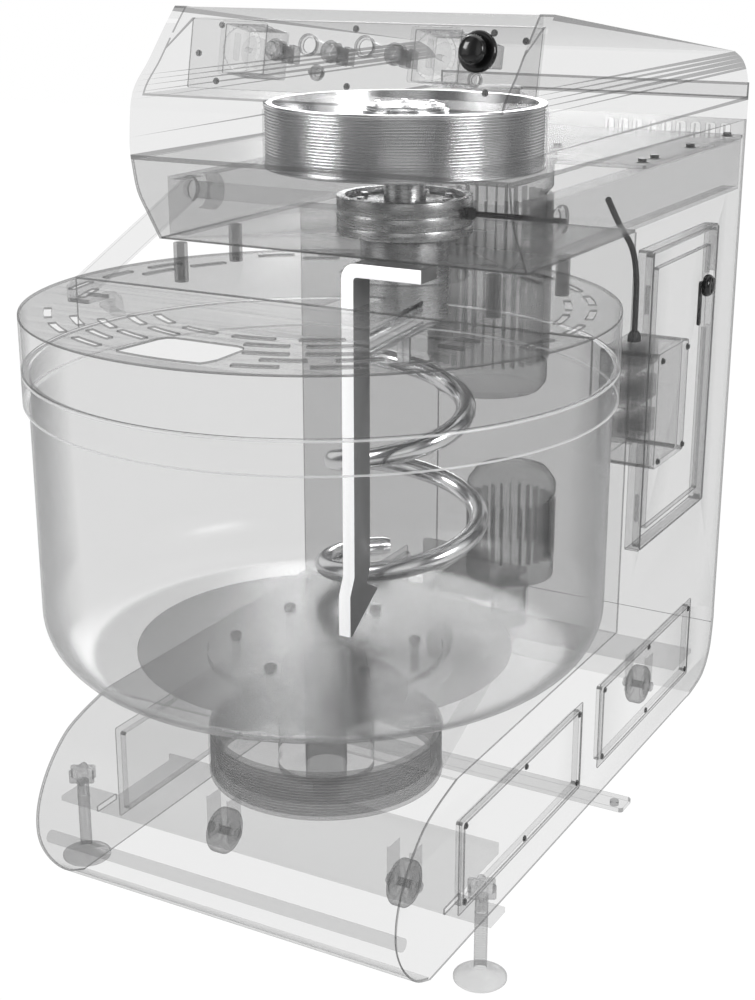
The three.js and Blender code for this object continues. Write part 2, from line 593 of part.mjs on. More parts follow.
function belt(y1, r1, y2, r2, z0, z1) {
  const outer = beltLoop(y1, r1 + GAP + BELT_THICKNESS, y2, r2 + GAP + BELT_THICKNESS, 18);
  const inner = beltLoop(y1, r1 + GAP, y2, r2 + GAP, 18);
  const loop = (points, low, high) => {
    const shape = new THREE.Shape(points.map(([x, y]) => new THREE.Vector2(x, y)));
    const geometry = new THREE.ExtrudeGeometry(shape, { depth: high - low, bevelEnabled: false });
    return solid(geometry.translate(0, 0, low));
  };
  return cut(loop(outer, z0, z1), loop(inner, z0 - 5, z1 + 5));
}

function smallPulley(name, y, radius, z0, z1, shaftZ0, shaftZ1) {
  const low = Math.min(z0, shaftZ0);
  const high = Math.max(z1, shaftZ1);
  const profile = [];
  if (low < z0) profile.push([0, low], [19, low], [19, z0]);
  else profile.push([0, z0]);
  profile.push([radius, z0], [radius, z0 + 4], [radius - RIB_DEPTH, z0 + 4],
    [radius - RIB_DEPTH, z1 - 4], [radius, z1 - 4], [radius, z1]);
  if (high > z1) profile.push([19, z1], [19, high], [0, high]);
  else profile.push([0, z1]);
  add(name, turned(profile, 0, y, 24), STEEL);
}

const motorTop = DECK_Z - DECK_SHEET - GAP;
const motorBottom = HEAD_Z - 291;
smallPulley('spiral_motor_pulley', MOTOR_Y, MOTOR_PULLEY_RADIUS, PULLEY_Z, pulleyTop,
  motorTop + GAP, pulleyTop);
add('spiral_belt', belt(SPIRAL_Y, groove, MOTOR_Y, MOTOR_PULLEY_RADIUS - RIB_DEPTH, beltZ0, beltZ1), CLEAR);
add('spiral_motor', turned([
  [0, motorBottom], [MOTOR_RADIUS - 14, motorBottom], [MOTOR_RADIUS, motorBottom + 14],
  [MOTOR_RADIUS, motorTop - 12], [MOTOR_RADIUS + 4, motorTop - 12], [MOTOR_RADIUS + 4, motorTop],
  [0, motorTop]], 0, MOTOR_Y, 28), CAST);

// Shaft with the boss below the head; the boss is notched over the hook's slanted arm
const bossBottom = HEAD_Z - GAP - 3 - BOSS_LENGTH;
const armEnd = new THREE.Vector3(45, SPIRAL_Y, bossBottom + 8);
const armStart = new THREE.Vector3(-COIL_START_RADIUS, SPIRAL_Y, HEAD_Z - 183);
const armSlope = (armEnd.z - armStart.z) / (armEnd.x - armStart.x);
const armSide = ARM_RADIUS * Math.hypot(1, armSlope);
const armTopAt = (x) => armStart.z + (x - armStart.x) * armSlope + armSide + GAP;
const notch = pulledY([[-120, armTopAt(-120)], [-120, bossBottom - 200], [armEnd.x + 6, bossBottom - 200],
  [armEnd.x + 6, armTopAt(armEnd.x + 6)]], SPIRAL_Y - 100, SPIRAL_Y + 100);
const bossTop = HEAD_Z - 3;
const shaft = turned([[0, bossBottom], [BOSS_RADIUS, bossBottom], [BOSS_RADIUS, bossTop],
  [SHAFT_RADIUS, bossTop], [SHAFT_RADIUS, pulleyTop - 5], [0, pulleyTop - 5]], 0, SPIRAL_Y, 40);
add('spiral_shaft', cut(shaft, notch), STEEL);

// Hook: bar coiled round the shaft's axis, widening downwards and levelling out above the bowl's floor
const COIL_LEVEL = 0.4;             // last part of a turn, over which the coil levels out
const coilTop = armStart.z;
const cornerRadius = BOWL_FILLET - BOWL_WALL;
const tipReach = SPIRAL_OFFSET + COIL_END_RADIUS - COIL_TUCK - (WALL_RADIUS - BOWL_FILLET);
const cornerPlay = cornerRadius - ROD / 2 - COIL_FLOOR_CLEARANCE;
const coilBottom = FLOOR_Z + cornerRadius - Math.sqrt(cornerPlay ** 2 - Math.max(tipReach, 0) ** 2);
const coilPitch = (coilTop - coilBottom) / (COIL_TURNS - COIL_LEVEL / 2);

class Coil extends THREE.Curve {
  getPoint(t, target = new THREE.Vector3()) {
    const turn = t * COIL_TURNS;
    const angle = Math.PI - turn * 2 * Math.PI;
    const widen = COIL_END_RADIUS - COIL_START_RADIUS;
    const over = Math.max(turn - (COIL_TURNS - COIL_LEVEL), 0);
    const radius = COIL_START_RADIUS + widen * (1.45 * t - 0.45 * t * t)
      - COIL_TUCK * (over / COIL_LEVEL) ** 2;
    const z = coilTop - coilPitch * turn + (coilPitch * over * over) / (2 * COIL_LEVEL);
    return target.set(radius * Math.cos(angle), SPIRAL_Y + radius * Math.sin(angle), z);
  }
}
const round = new THREE.Shape();
round.absarc(0, 0, ROD / 2, 0, Math.PI * 2);
const coilSweep = { steps: 44, extrudePath: new Coil(), curveSegments: 5 };
const coilGeometry = new THREE.ExtrudeGeometry(round, coilSweep);

function bar(from, to, radius, sides) {
  const along = to.clone().sub(from);
  const geometry = new THREE.CylinderGeometry(radius, radius, along.length(), sides);
  const turn = new THREE.Quaternion().setFromUnitVectors(new THREE.Vector3(0, 1, 0), along.normalize());
  const middle = from.clone().add(to).multiplyScalar(0.5);
  return solid(geometry.applyQuaternion(turn).translate(middle.x, middle.y, middle.z));
}
const elbowBall = new THREE.SphereGeometry(ARM_RADIUS, 12, 8);
const elbow = solid(elbowBall.translate(armStart.x, armStart.y, armStart.z));
const boltZ = armStart.z + COIL_START_RADIUS * armSlope;
const bolt = post(0, SPIRAL_Y, boltZ - armSide - 36, boltZ, 10, 10);
add('spiral_hook', union(solid(coilGeometry), bar(armStart, armEnd, ARM_RADIUS, 16), elbow, bolt), STEEL);

// ---------------------------------------------------------------- breaker bar
const barBottom = FLOOR_Z + BAR_FLOOR_CLEARANCE;
const barTop = HEAD_Z - GAP;
const BAR_X = 30;
const KINK = 7;
const arc = (cx, cz, radius, from, to, steps) => {
  const points = [];
  for (let i = 0; i <= steps; i += 1) {
    const angle = THREE.MathUtils.degToRad(from + ((to - from) * i) / steps);
    points.push([cx + radius * Math.cos(angle), cz + radius * Math.sin(angle)]);
  }
  return points;
};
const barFront = [
  ...arc(BAR_X + 22, barTop - 22, 22, 180, 90, 5),
  [BAR_X + 120, barTop],
  [BAR_X + 120, barTop - BAR_THICKNESS],
  ...arc(BAR_X + BAR_THICKNESS + 5, barTop - BAR_THICKNESS - 5, 5, 90, 180, 3),
  [BAR_X + BAR_THICKNESS, barBottom + 92],
  [BAR_X + BAR_THICKNESS - KINK, barBottom + 61],
  [BAR_X + BAR_THICKNESS - KINK, barBottom],
  [BAR_X - KINK, barBottom],
  [BAR_X - KINK, barBottom + 61],
  [BAR_X, barBottom + 92],
];
const ploughTip = BAR_FACE + BAR_REACH;
const barSide = [
  [BAR_FACE, barTop + 5],
  [BAR_FACE, barBottom],
  [BAR_FACE + 6, barBottom],
  [ploughTip, barBottom + 49],
  [BAR_FACE + BAR_WIDTH, barBottom + 69],
  [BAR_FACE + BAR_WIDTH, barTop + 5],
];
const barBody = pulledY(barFront.slice().reverse(), BAR_FACE - 10, ploughTip + 10);
add('breaker_bar', barBody.intersect(pulledX(barSide, 0, BAR_X + 200)), STEEL);

// ---------------------------------------------------------------- bowl and its drive
const BOWL_SIDES = 56;
const filletOuter = arc(WALL_RADIUS - BOWL_FILLET, BOWL_BOTTOM + BOWL_FILLET, BOWL_FILLET, -90, 0, 4);
const innerFillet = BOWL_FILLET - BOWL_WALL;
const filletInner = arc(WALL_RADIUS - BOWL_FILLET, FLOOR_Z + innerFillet, innerFillet, 0, -90, 4);
add('bowl', turned([
  [0, BOWL_BOTTOM], ...filletOuter, [WALL_RADIUS, RIM - BAND_HEIGHT], [BOWL_RADIUS, RIM - BAND_HEIGHT],
  [BOWL_RADIUS, RIM], [WALL_RADIUS - BOWL_WALL, RIM], ...filletInner, [0, FLOOR_Z],
], 0, BOWL_Y, BOWL_SIDES), STEEL);

const HUB_DISC = 168;
const SEAT_DISC = 266;
const bowlPulleyTop = BOWL_PULLEY_Z + BOWL_PULLEY_WIDTH;
add('bowl_hub', turned([[0, BOWL_PULLEY_Z - 45], [20, BOWL_PULLEY_Z - 45], [20, BOWL_PULLEY_Z - 20],
  [BOWL_SHAFT_RADIUS, BOWL_PULLEY_Z - 20], [BOWL_SHAFT_RADIUS, BOWL_BOTTOM - 19],
  [HUB_DISC, BOWL_BOTTOM - 19],
  [HUB_DISC, BOWL_BOTTOM - 6], [SEAT_DISC, BOWL_BOTTOM - 5], [SEAT_DISC, BOWL_BOTTOM - GAP],
  [0, BOWL_BOTTOM - GAP]], 0, BOWL_Y, 32), STEEL);

const bowlBore = BOWL_SHAFT_RADIUS + GAP;
add('bowl_bearing_housing', turned([[bowlBore, bowlPulleyTop + 8], [HOUSING.tube, bowlPulleyTop + 8],
  [HOUSING.tube, BASE_TOP + GAP], [HOUSING.flange, BASE_TOP + GAP], [HOUSING.flange, BASE_TOP + 10],
  [HOUSING.tube + 8, BASE_TOP + 10], [HOUSING.tube, BOWL_BOTTOM - 27], [bowlBore, BOWL_BOTTOM - 27]],
0, BOWL_Y, 32, true), CAST);

const bowlGroove = BOWL_PULLEY_RADIUS - RIB_DEPTH;
const bowlRim = BOWL_PULLEY_RADIUS - 10;
add('bowl_pulley', turned([
  [bowlBore, BOWL_PULLEY_Z], [70, BOWL_PULLEY_Z], [70, BOWL_PULLEY_Z + 12], [bowlRim, BOWL_PULLEY_Z + 12],
  [bowlRim, BOWL_PULLEY_Z], [BOWL_PULLEY_RADIUS, BOWL_PULLEY_Z], [BOWL_PULLEY_RADIUS, BOWL_PULLEY_Z + 4],
  [bowlGroove, BOWL_PULLEY_Z + 4], [bowlGroove, bowlPulleyTop - 4], [BOWL_PULLEY_RADIUS, bowlPulleyTop - 4],
  [BOWL_PULLEY_RADIUS, bowlPulleyTop], [bowlRim, bowlPulleyTop], [bowlRim, BOWL_PULLEY_Z + 20],
  [70, BOWL_PULLEY_Z + 20], [70, bowlPulleyTop + 5], [bowlBore, bowlPulleyTop + 5],
], 0, BOWL_Y, 36, true), CAST);

const bowlMotorZ = bowlPulleyTop + 22;
smallPulley('bowl_motor_pulley', BOWL_MOTOR_Y, BOWL_MOTOR_PULLEY_RADIUS, BOWL_PULLEY_Z, bowlPulleyTop,
  BOWL_PULLEY_Z, bowlMotorZ - GAP);
add('bowl_belt', belt(BOWL_Y, bowlGroove, BOWL_MOTOR_Y, BOWL_MOTOR_PULLEY_RADIUS - RIB_DEPTH,
  BOWL_PULLEY_Z + 8, bowlPulleyTop - 8), CLEAR);
const motorBody = turned([[0, bowlMotorZ], [BOWL_MOTOR_RADIUS, bowlMotorZ],
  [BOWL_MOTOR_RADIUS, bowlMotorZ + 170], [BOWL_MOTOR_RADIUS - 18, bowlMotorZ + 192],
  [0, bowlMotorZ + 204]], 0, BOWL_MOTOR_Y, 28);
const bracket = union(
  box(-60, 60, COLUMN_Y + SHEET + GAP, BOWL_MOTOR_Y - 40, bowlMotorZ + 30, bowlMotorZ + 38),
  box(-60, 60, COLUMN_Y + SHEET + GAP, COLUMN_Y + SHEET + 8, bowlMotorZ + 30, bowlMotorZ + 120),
);
add('bowl_motor', union(motorBody, bracket), CAST);

// ---------------------------------------------------------------- guard
const CHORD = HEAD_FRONT + 7;       // parting line between the lid and the fixed guard
const guardRing = union(
  ringOf(BOWL_RADIUS - GUARD_SHEET, BOWL_RADIUS, GUARD_Z, GUARD_TOP, 0, BOWL_Y, BOWL_SIDES),
  post(0, BOWL_Y, GUARD_TOP - GUARD_SHEET, GUARD_TOP, BOWL_RADIUS - 1, BOWL_SIDES),
);
const frontHalf = box(-600, 600, BOWL_Y - 600, CHORD - 1, GUARD_Z - 50, GUARD_TOP + 50);
const rearHalf = box(-600, 600, CHORD, BOWL_Y + 600, GUARD_Z - 50, GUARD_TOP + 50);
const guardFront = BOWL_Y - BOWL_RADIUS;
const feedWindow = box(-70, 62, guardFront + 39, guardFront + 133, GUARD_TOP - 20, GUARD_TOP + 20);
add('guard_lid', cut(guardRing.intersect(frontHalf), feedWindow), CLEAR);

const toolHole = post(0, SPIRAL_Y, GUARD_TOP - 20, GUARD_TOP + 20, BOSS_RADIUS + 30, 28);
const barSlot = box(BAR_X - 20, BAR_X + 32, CHORD - 20, BAR_FACE + BAR_WIDTH + 20,
  GUARD_TOP - 20, GUARD_TOP + 20);
const posts = [];
for (const side of [-1, 1]) {
  posts.push(post(side * (INNER - 40), CHORD + 43, GUARD_TOP - 1, HEAD_Z - GAP, 10, 12));
  posts.push(post(side * (INNER - 18), SPIRAL_Y - 41, GUARD_TOP - 1, HEAD_Z - GAP, 10, 12));
}
add('rear_guard', union(cut(guardRing.intersect(rearHalf), toolHole, barSlot), ...posts), CLEAR);

// Yoke: two flat arms outside the head on one shaft that runs through it
const ARM = { x0: HALF + 3, x1: HALF + 9, width: 40 };
const armFoot = { y: CHORD - 126, z: GUARD_TOP + GAP };
function yokeArm(side) {
  const xs = [side * ARM.x0, side * ARM.x1].sort((a, b) => a - b);
  const along = new THREE.Vector2(PIVOT.y - armFoot.y, PIVOT.z - armFoot.z).normalize();
  const across = [-along.y * (ARM.width / 2), along.x * (ARM.width / 2)];
  const outline = [
    [armFoot.y - 20, armFoot.z],
    [armFoot.y + 26, armFoot.z],
    [PIVOT.y - across[0], PIVOT.z - across[1]],
    ...arc(PIVOT.y, PIVOT.z, ARM.width / 2, -60, 120, 8),
    [armFoot.y - 20, armFoot.z + 22],
  ];
  const foot = [side * (ARM.x0 - 30), side * ARM.x1].sort((a, b) => a - b);
  return union(
    pulledX(outline, xs[0], xs[1]),
    box(foot[0], foot[1], armFoot.y - 20, armFoot.y + 26, armFoot.z, armFoot.z + 5),
  );
}
add('lid_yoke', union(yokeArm(-1), yokeArm(1), pin(-ARM.x1, ARM.x1, PIVOT.y, PIVOT.z, PIVOT.radius)), CLEAR);

const HANDLE = { x: -205, y: CHORD - 166 };
const handleOutline = [[-35, 0], [-35, 6], [-28, 6], [-20, 24], [20, 24], [28, 6], [35, 6], [35, 0],
  [22, 0], [15, 15], [-15, 15], [-22, 0]];
const handleBody = pulledY(handleOutline, -9, 9);
const handle = add('lid_handle', handleBody, CLEAR);
handle.rotation.z = THREE.MathUtils.degToRad(-38);
handle.position.set(HANDLE.x, HANDLE.y, GUARD_TOP + GAP);

// ---------------------------------------------------------------- cable from the head to the electrical box
const cableX = (BOX.x0 + BOX.x1) / 2 - 20;
const cablePath = new THREE.CatmullRomCurve3([
  [cableX, BOX.y0 - 70, HEAD_Z + 30],
  [cableX, BOX.y0 - 20, HEAD_Z - 14],
  [cableX, BOX.y0 + 42, HEAD_Z - 62],
  [cableX, BOX.y0 + 66, HEAD_Z - 110],
  [cableX, BOX.y0 + 70, BOX.z1 + 60],
  [cableX, BOX.y0 + 70, BOX.z1 + GAP],
].map(([x, y, z]) => new THREE.Vector3(x, y, z)));
const cableSection = new THREE.Shape();
cableSection.absarc(0, 0, 5, 0, Math.PI * 2);
add('motor_cable', solid(new THREE.ExtrudeGeometry(cableSection, {
  steps: 14, extrudePath: cablePath, curveSegments: 4,
})), RUBBER);

export default group;
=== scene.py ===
import math

import bmesh
import bpy
from mathutils import Matrix, Vector


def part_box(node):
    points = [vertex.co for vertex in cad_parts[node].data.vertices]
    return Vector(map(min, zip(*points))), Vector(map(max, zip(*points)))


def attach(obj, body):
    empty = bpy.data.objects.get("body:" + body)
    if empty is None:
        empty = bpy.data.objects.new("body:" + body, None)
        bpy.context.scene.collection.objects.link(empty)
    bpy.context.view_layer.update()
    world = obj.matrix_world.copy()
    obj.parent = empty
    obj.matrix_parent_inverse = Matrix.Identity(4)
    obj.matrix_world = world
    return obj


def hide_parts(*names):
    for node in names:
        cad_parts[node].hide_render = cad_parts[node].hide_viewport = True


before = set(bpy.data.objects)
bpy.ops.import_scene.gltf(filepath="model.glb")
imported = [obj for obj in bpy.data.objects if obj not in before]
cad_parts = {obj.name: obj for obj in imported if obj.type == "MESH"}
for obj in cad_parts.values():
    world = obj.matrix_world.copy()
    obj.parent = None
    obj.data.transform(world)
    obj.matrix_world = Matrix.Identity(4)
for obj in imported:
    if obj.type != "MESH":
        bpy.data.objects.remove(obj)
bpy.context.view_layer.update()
scene = bpy.context.scene

# ---------------------------------------------------------------- camera and studio
# A short telephoto lens looks down on the mixer's front right corner, in a white studio with soft lamps.
# The surroundings are white to the eye but banded for what the polished steel mirrors.
camera_data = bpy.data.cameras.new("camera")
camera_data.lens = 61.36
camera_data.sensor_width = 36.0
camera_data.clip_end = 60.0
camera = bpy.data.objects.new("camera", camera_data)
camera.location = (1.159, -2.180, 1.3184)
camera.rotation_euler = (math.radians(90 - 18.37), 0, math.radians(29.119))
scene.collection.objects.link(camera)
scene.camera = camera
scene.view_settings.view_transform = "Standard"
scene.cycles.transparent_max_bounces = 128


def soft_lamp(name, place, target, size, power):
    """Square area lamp that looks at a target."""
    data = bpy.data.lights.new(name, "AREA")
    data.size = size
    data.energy = power
    lamp = bpy.data.objects.new(name, data)
    lamp.location = place
    lamp.rotation_euler = (Vector(target) - Vector(place)).to_track_quat("-Z", "Y").to_euler()
    scene.collection.objects.link(lamp)


soft_lamp("key_lamp", (-2.6, -2.6, 3.0), (0, 0, 0.8), 1.6, 90)
soft_lamp("side_lamp", (3.0, -0.6, 2.0), (0, 0, 0.7), 1.2, 45)
soft_lamp("top_lamp", (0.0, 0.6, 3.6), (0, 0, 0.6), 3.0, 35)
soft_lamp("rear_lamp", (-1.5, 3.2, 2.0), (0, 0, 0.6), 1.5, 40)

world = bpy.data.worlds.new("studio")
scene.world = world
world.use_nodes = True
air = world.node_tree
air.nodes.clear()
sky_out = air.nodes.new("ShaderNodeOutputWorld")
to_eye = air.nodes.new("ShaderNodeBackground")
to_eye.inputs["Color"].default_value = (1, 1, 1, 1)
to_things = air.nodes.new("ShaderNodeBackground")
direction = air.nodes.new("ShaderNodeTexCoord")
split = air.nodes.new("ShaderNodeSeparateXYZ")
angle = air.nodes.new("ShaderNodeMath")
angle.operation = "ARCTAN2"
bands = air.nodes.new("ShaderNodeMath")
bands.operation = "SINE"
turns = air.nodes.new("ShaderNodeMath")
turns.operation = "MULTIPLY_ADD"
turns.inputs[1].default_value = 5.0
turns.inputs[2].default_value = 0.9
ramp = air.nodes.new("ShaderNodeValToRGB")
ramp.color_ramp.elements[0].position = 0.25
ramp.color_ramp.elements[0].color = (0.20, 0.20, 0.205, 1)
ramp.color_ramp.elements[1].position = 0.75
ramp.color_ramp.elements[1].color = (1.0, 1.0, 1.0, 1)
lift = air.nodes.new("ShaderNodeMath")
lift.operation = "MULTIPLY_ADD"
lift.inputs[1].default_value = 0.5
lift.inputs[2].default_value = 0.5
seen = air.nodes.new("ShaderNodeLightPath")
choose = air.nodes.new("ShaderNodeMixShader")
air.links.new(direction.outputs["Generated"], split.inputs[0])
air.links.new(split.outputs["Y"], angle.inputs[0])
air.links.new(split.outputs["X"], angle.inputs[1])
air.links.new(angle.outputs[0], turns.inputs[0])
air.links.new(turns.outputs[0], bands.inputs[0])
air.links.new(bands.outputs[0], lift.inputs[0])
air.links.new(lift.outputs[0], ramp.inputs["Fac"])
air.links.new(ramp.outputs["Color"], to_things.inputs["Color"])
overhead = air.nodes.new("ShaderNodeMapRange")
overhead.inputs["From Min"].default_value = 0.25
overhead.inputs["To Min"].default_value = 0.9
overhead.inputs["To Max"].default_value = 0.35
air.links.new(split.outputs["Z"], overhead.inputs["Value"])
air.links.new(overhead.outputs["Result"], to_things.inputs["Strength"])
air.links.new(seen.outputs["Is Camera Ray"], choose.inputs["Fac"])
air.links.new(to_things.outputs[0], choose.inputs[1])
air.links.new(to_eye.outputs[0], choose.inputs[2])
air.links.new(choose.outputs[0], sky_out.inputs["Surface"])

floor_mesh = bpy.data.meshes.new("studio_floor")
FLOOR_REACH = 9.0
floor_corners = ((-1, -1), (1, -1), (1, 1), (-1, 1))
floor_points = [(x * FLOOR_REACH, y * FLOOR_REACH, -0.0005) for x, y in floor_corners]
floor_mesh.from_pydata(floor_points, [], [(0, 1, 2, 3)])
floor = bpy.data.objects.new("studio_floor", floor_mesh)
scene.collection.objects.link(floor)
floor_paint = bpy.data.materials.new("studio_floor")
floor_paint.use_nodes = True
floor_paint.node_tree.nodes["Principled BSDF"].inputs["Base Color"].default_value = (0.7, 0.7, 0.7, 1)
floor_paint.node_tree.nodes["Principled BSDF"].inputs["Roughness"].default_value = 0.9
floor_paint.node_tree.nodes["Principled BSDF"].inputs["Specular IOR Level"].default_value = 0.0
white = floor_paint.node_tree
glow = white.nodes.new("ShaderNodeEmission")
glow.inputs["Strength"].default_value = 1.02
looked_at = white.nodes.new("ShaderNodeLightPath")
either = white.nodes.new("ShaderNodeMixShader")
white.links.new(looked_at.outputs["Is Camera Ray"], either.inputs["Fac"])
white.links.new(white.nodes["Principled BSDF"].outputs[0], either.inputs[1])
white.links.new(glow.outputs[0], either.inputs[2])
white.links.new(either.outputs[0], white.nodes["Material Output"].inputs["Surface"])
floor_mesh.materials.append(floor_paint)

# ---------------------------------------------------------------- side plates of the body
# Two C-shaped plates of 3 mm sheet carry everything. They are made see-through here, so that the drive shows.
# The right one has the door's and the base panels' openings, with return flanges behind their edges.
TO_METRES = Matrix.Scale(0.001, 4)
FACING_UP = Matrix.Identity(4)
FACING_X = Matrix(((0, 0, 1, 0), (1, 0, 0, 0), (0, 1, 0, 0), (0, 0, 0, 1)))
FACING_Y = Matrix(((1, 0, 0, 0), (0, 0, -1, 0), (0, 1, 0, 0), (0, 0, 0, 1)))


def box_mm(node):
    """A CAD node's box in millimetres: its low and its high corner."""
    low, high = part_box(node)
    return low * 1000, high * 1000


def see_through(name, tint, grey, face, rim, roughness=0.3, metallic=0.0, grain=60.0, start=0.62):
    """Clear sheet: light passes with a tint, and a grey share grows from face on to grazing."""
    material = bpy.data.materials.new(name)
    material.use_nodes = True
    tree = material.node_tree
    tree.nodes.clear()
    out = tree.nodes.new("ShaderNodeOutputMaterial")
    clear = tree.nodes.new("ShaderNodeBsdfTransparent")
    clear.inputs["Color"].default_value = (tint, tint, tint, 1)
    skin = tree.nodes.new("ShaderNodeBsdfPrincipled")
    skin.inputs["Base Color"].default_value = (grey, grey * 1.005, grey * 1.01, 1)
    skin.inputs["Metallic"].default_value = metallic
    place = tree.nodes.new("ShaderNodeTexCoord")
    smudge = tree.nodes.new("ShaderNodeTexNoise")
    smudge.inputs["Scale"].default_value = grain
    smudge.inputs["Detail"].default_value = 2.0
    spread_out = tree.nodes.new("ShaderNodeMapRange")
    spread_out.inputs["To Min"].default_value = roughness * 0.8
    spread_out.inputs["To Max"].default_value = roughness * 1.25
    graze = tree.nodes.new("ShaderNodeLayerWeight")
    graze.inputs["Blend"].default_value = 0.35
    share = tree.nodes.new("ShaderNodeMapRange")
    share.inputs["From Min"].default_value = start
    share.inputs["To Min"].default_value = face
    share.inputs["To Max"].default_value = rim
    blend = tree.nodes.new("ShaderNodeMixShader")
    link = tree.links.new
    link(place.outputs["Object"], smudge.inputs["Vector"])
    link(smudge.outputs["Fac"], spread_out.inputs["Value"])
    link(spread_out.outputs["Result"], skin.inputs["Roughness"])
    link(graze.outputs["Facing"], share.inputs["Value"])
    link(share.outputs["Result"], blend.inputs["Fac"])
    link(clear.outputs[0], blend.inputs[1])
    link(skin.outputs[0], blend.inputs[2])
    link(blend.outputs[0], out.inputs["Surface"])
    return material


def quiet(obj):
    """See-through pieces throw no shadow on what they enclose."""
    obj.visible_shadow = False
    obj.visible_diffuse = False
    return obj


def mark_shaded_edges(mesh):
    """Narrow faces across a sheet's thickness take the second, darker material: painted shade, so cut edges
    read as dark lines.
    """
    spread = [0.0, 0.0, 0.0]
    for face in mesh.polygons:
        for i in range(3):
            spread[i] += face.area * abs(face.normal[i])
    main = spread.index(max(spread))
    points = mesh.vertices
    for face in mesh.polygons:
        ring = [points[i].co for i in face.vertices]
        longest = max((ring[i] - ring[i - 1]).length for i in range(len(ring)))
        width = face.area / max(longest, 1e-6) * (2 if len(ring) == 3 else 1)
        if width < 4.5 and abs(face.normal[main]) < 0.9:
            face.material_index = 1


def piece(name, mesh, body, slot, material, *nodes, angle=32, see=False, edge=None):
    """A finished mesh, in millimetres, becomes a piece that rides a body and stands for CAD nodes."""
    mesh.materials.clear()
    mesh.materials.append(material)
    # The edge material paints shade on the narrow faces of cut edges.
    if edge:
        mesh.materials.append(edge)
        mark_shaded_edges(mesh)
    mesh.transform(TO_METRES)
    mesh.shade_smooth()
    mesh.set_sharp_from_angle(angle=math.radians(angle))
    obj = bpy.data.objects.new(name, mesh)
    mesh.name = name
    scene.collection.objects.link(obj)
    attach(obj, body)
    if nodes:
        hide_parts(*nodes)
    if see:
        quiet(obj)
    return obj


def sheet_piece(name, mesh, body, slot, material, *nodes):
    """A see-through sheet, whose cut edges carry painted shade as darker lines."""
    return piece(name, mesh, body, slot, material, *nodes, see=True, edge=edge_painted_shade)


def keep_node(node, material, see=False):
    """A CAD node that stays as it is gets its finish."""
    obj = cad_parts[node]
    for index in range(len(obj.data.materials)):
        obj.data.materials[index] = material
    if see:
        quiet(obj)
    return obj


def smooth_run(points, steps):
    """Catmull-Rom curve through a run of points, with that many steps between two of them."""
    padded = [points[0], *points, points[-1]]
    run = []
    for i in range(1, len(padded) - 2):
        p0, p1, p2, p3 = (Vector(p) for p in padded[i - 1:i + 3])
        for k in range(steps):
            t = k / steps
            run.append(0.5 * ((2 * p1) + (p2 - p0) * t + (2 * p0 - 5 * p1 + 4 * p2 - p3) * t * t
                              + (3 * p1 - p0 - 3 * p2 + p3) * t ** 3))
    run.append(Vector(points[-1]))
    return [tuple(p) for p in run]


def made_mesh(obj):
    """The evaluated mesh of a helper object, which is then removed."""
    bpy.context.view_layer.update()
    graph = bpy.context.evaluated_depsgraph_get()
    mesh = bpy.data.meshes.new_from_object(obj.evaluated_get(graph))
    data = obj.data
    bpy.data.objects.remove(obj)
    if isinstance(data, bpy.types.Curve):
        bpy.data.curves.remove(data)
    return mesh


def plate(outline, holes, thickness, facing, at, rounding=0.0):
    """Flat plate with holes; facing turns its plane, and at moves it."""
    curve = bpy.data.curves.new("outline", "CURVE")
    curve.dimensions = "2D"
    curve.fill_mode = "BOTH"
    for points in [outline, *holes]:
        spline = curve.splines.new("POLY")
        spline.points.add(len(points) - 1)
        for point, (u, v) in zip(spline.points, points):
            point.co = (u, v, 0, 1)
        spline.use_cyclic_u = True
    curve.extrude = thickness / 2 - rounding
    curve.bevel_depth = rounding
    curve.bevel_resolution = 1
    curve.offset = -rounding
    obj = bpy.data.objects.new("outline", curve)
    scene.collection.objects.link(obj)
    mesh = made_mesh(obj)
    mesh.transform(Matrix.Translation(at) @ facing)
    clean = bmesh.new()
    clean.from_mesh(mesh)
    bmesh.ops.remove_doubles(clean, verts=clean.verts, dist=0.001)
    bmesh.ops.recalc_face_normals(clean, faces=clean.faces)
    clean.to_mesh(mesh)
    clean.free()
    return mesh


def rectangle(u0, u1, v0, v1, corner=0.0, steps=4):
    """Outline of a rectangle with round corners."""
    if corner <= 0:
        return [(u0, v0), (u1, v0), (u1, v1), (u0, v1)]
    points = []
    for cu, cv, start in ((u1 - corner, v0 + corner, -90), (u1 - corner, v1 - corner, 0),
                          (u0 + corner, v1 - corner, 90), (u0 + corner, v0 + corner, 180)):
        for k in range(steps + 1):
            a = math.radians(start + 90 * k / steps)
            points.append((cu + corner * math.cos(a), cv + corner * math.sin(a)))
    return points


def ring_of(u, v, radius, steps=24):
    """Points round a circle, for a hole or for a ring of screws."""
    return [(u + radius * math.cos(2 * math.pi * k / steps), v + radius * math.sin(2 * math.pi * k / steps))
            for k in range(steps)]


def joined(*meshes):
    """Several meshes as one."""
    whole = bmesh.new()
    for mesh in meshes:
        whole.from_mesh(mesh)
    result = bpy.data.meshes.new("joined")
    whole.to_mesh(result)
    whole.free()
    return result


def boolean(mesh, tool, how):
    """One mesh cut by, joined to or kept inside another."""
    base = bpy.data.objects.new("base", mesh)
    other = bpy.data.objects.new("tool", tool)
    scene.collection.objects.link(base)
    scene.collection.objects.link(other)
    step = base.modifiers.new("boolean", "BOOLEAN")
    step.operation = how
    step.solver = "EXACT"
    step.object = other
    result = made_mesh(base)
    bpy.data.objects.remove(other)
    return result


clear_sheet = see_through("clear_sheet", 0.93, 0.22, 0.03, 0.55)
clear_fold = see_through("clear_fold", 0.90, 0.24, 0.06, 0.6)
clear_frame = see_through("clear_frame", 0.90, 0.22, 0.07, 0.6, roughness=0.4)
# Darker tint for faces across a sheet's cut edge: painted shade that draws the edges as lines.
edge_painted_shade = see_through("edge_painted_shade", 0.55, 0.20, 0.25, 0.6, roughness=0.4)

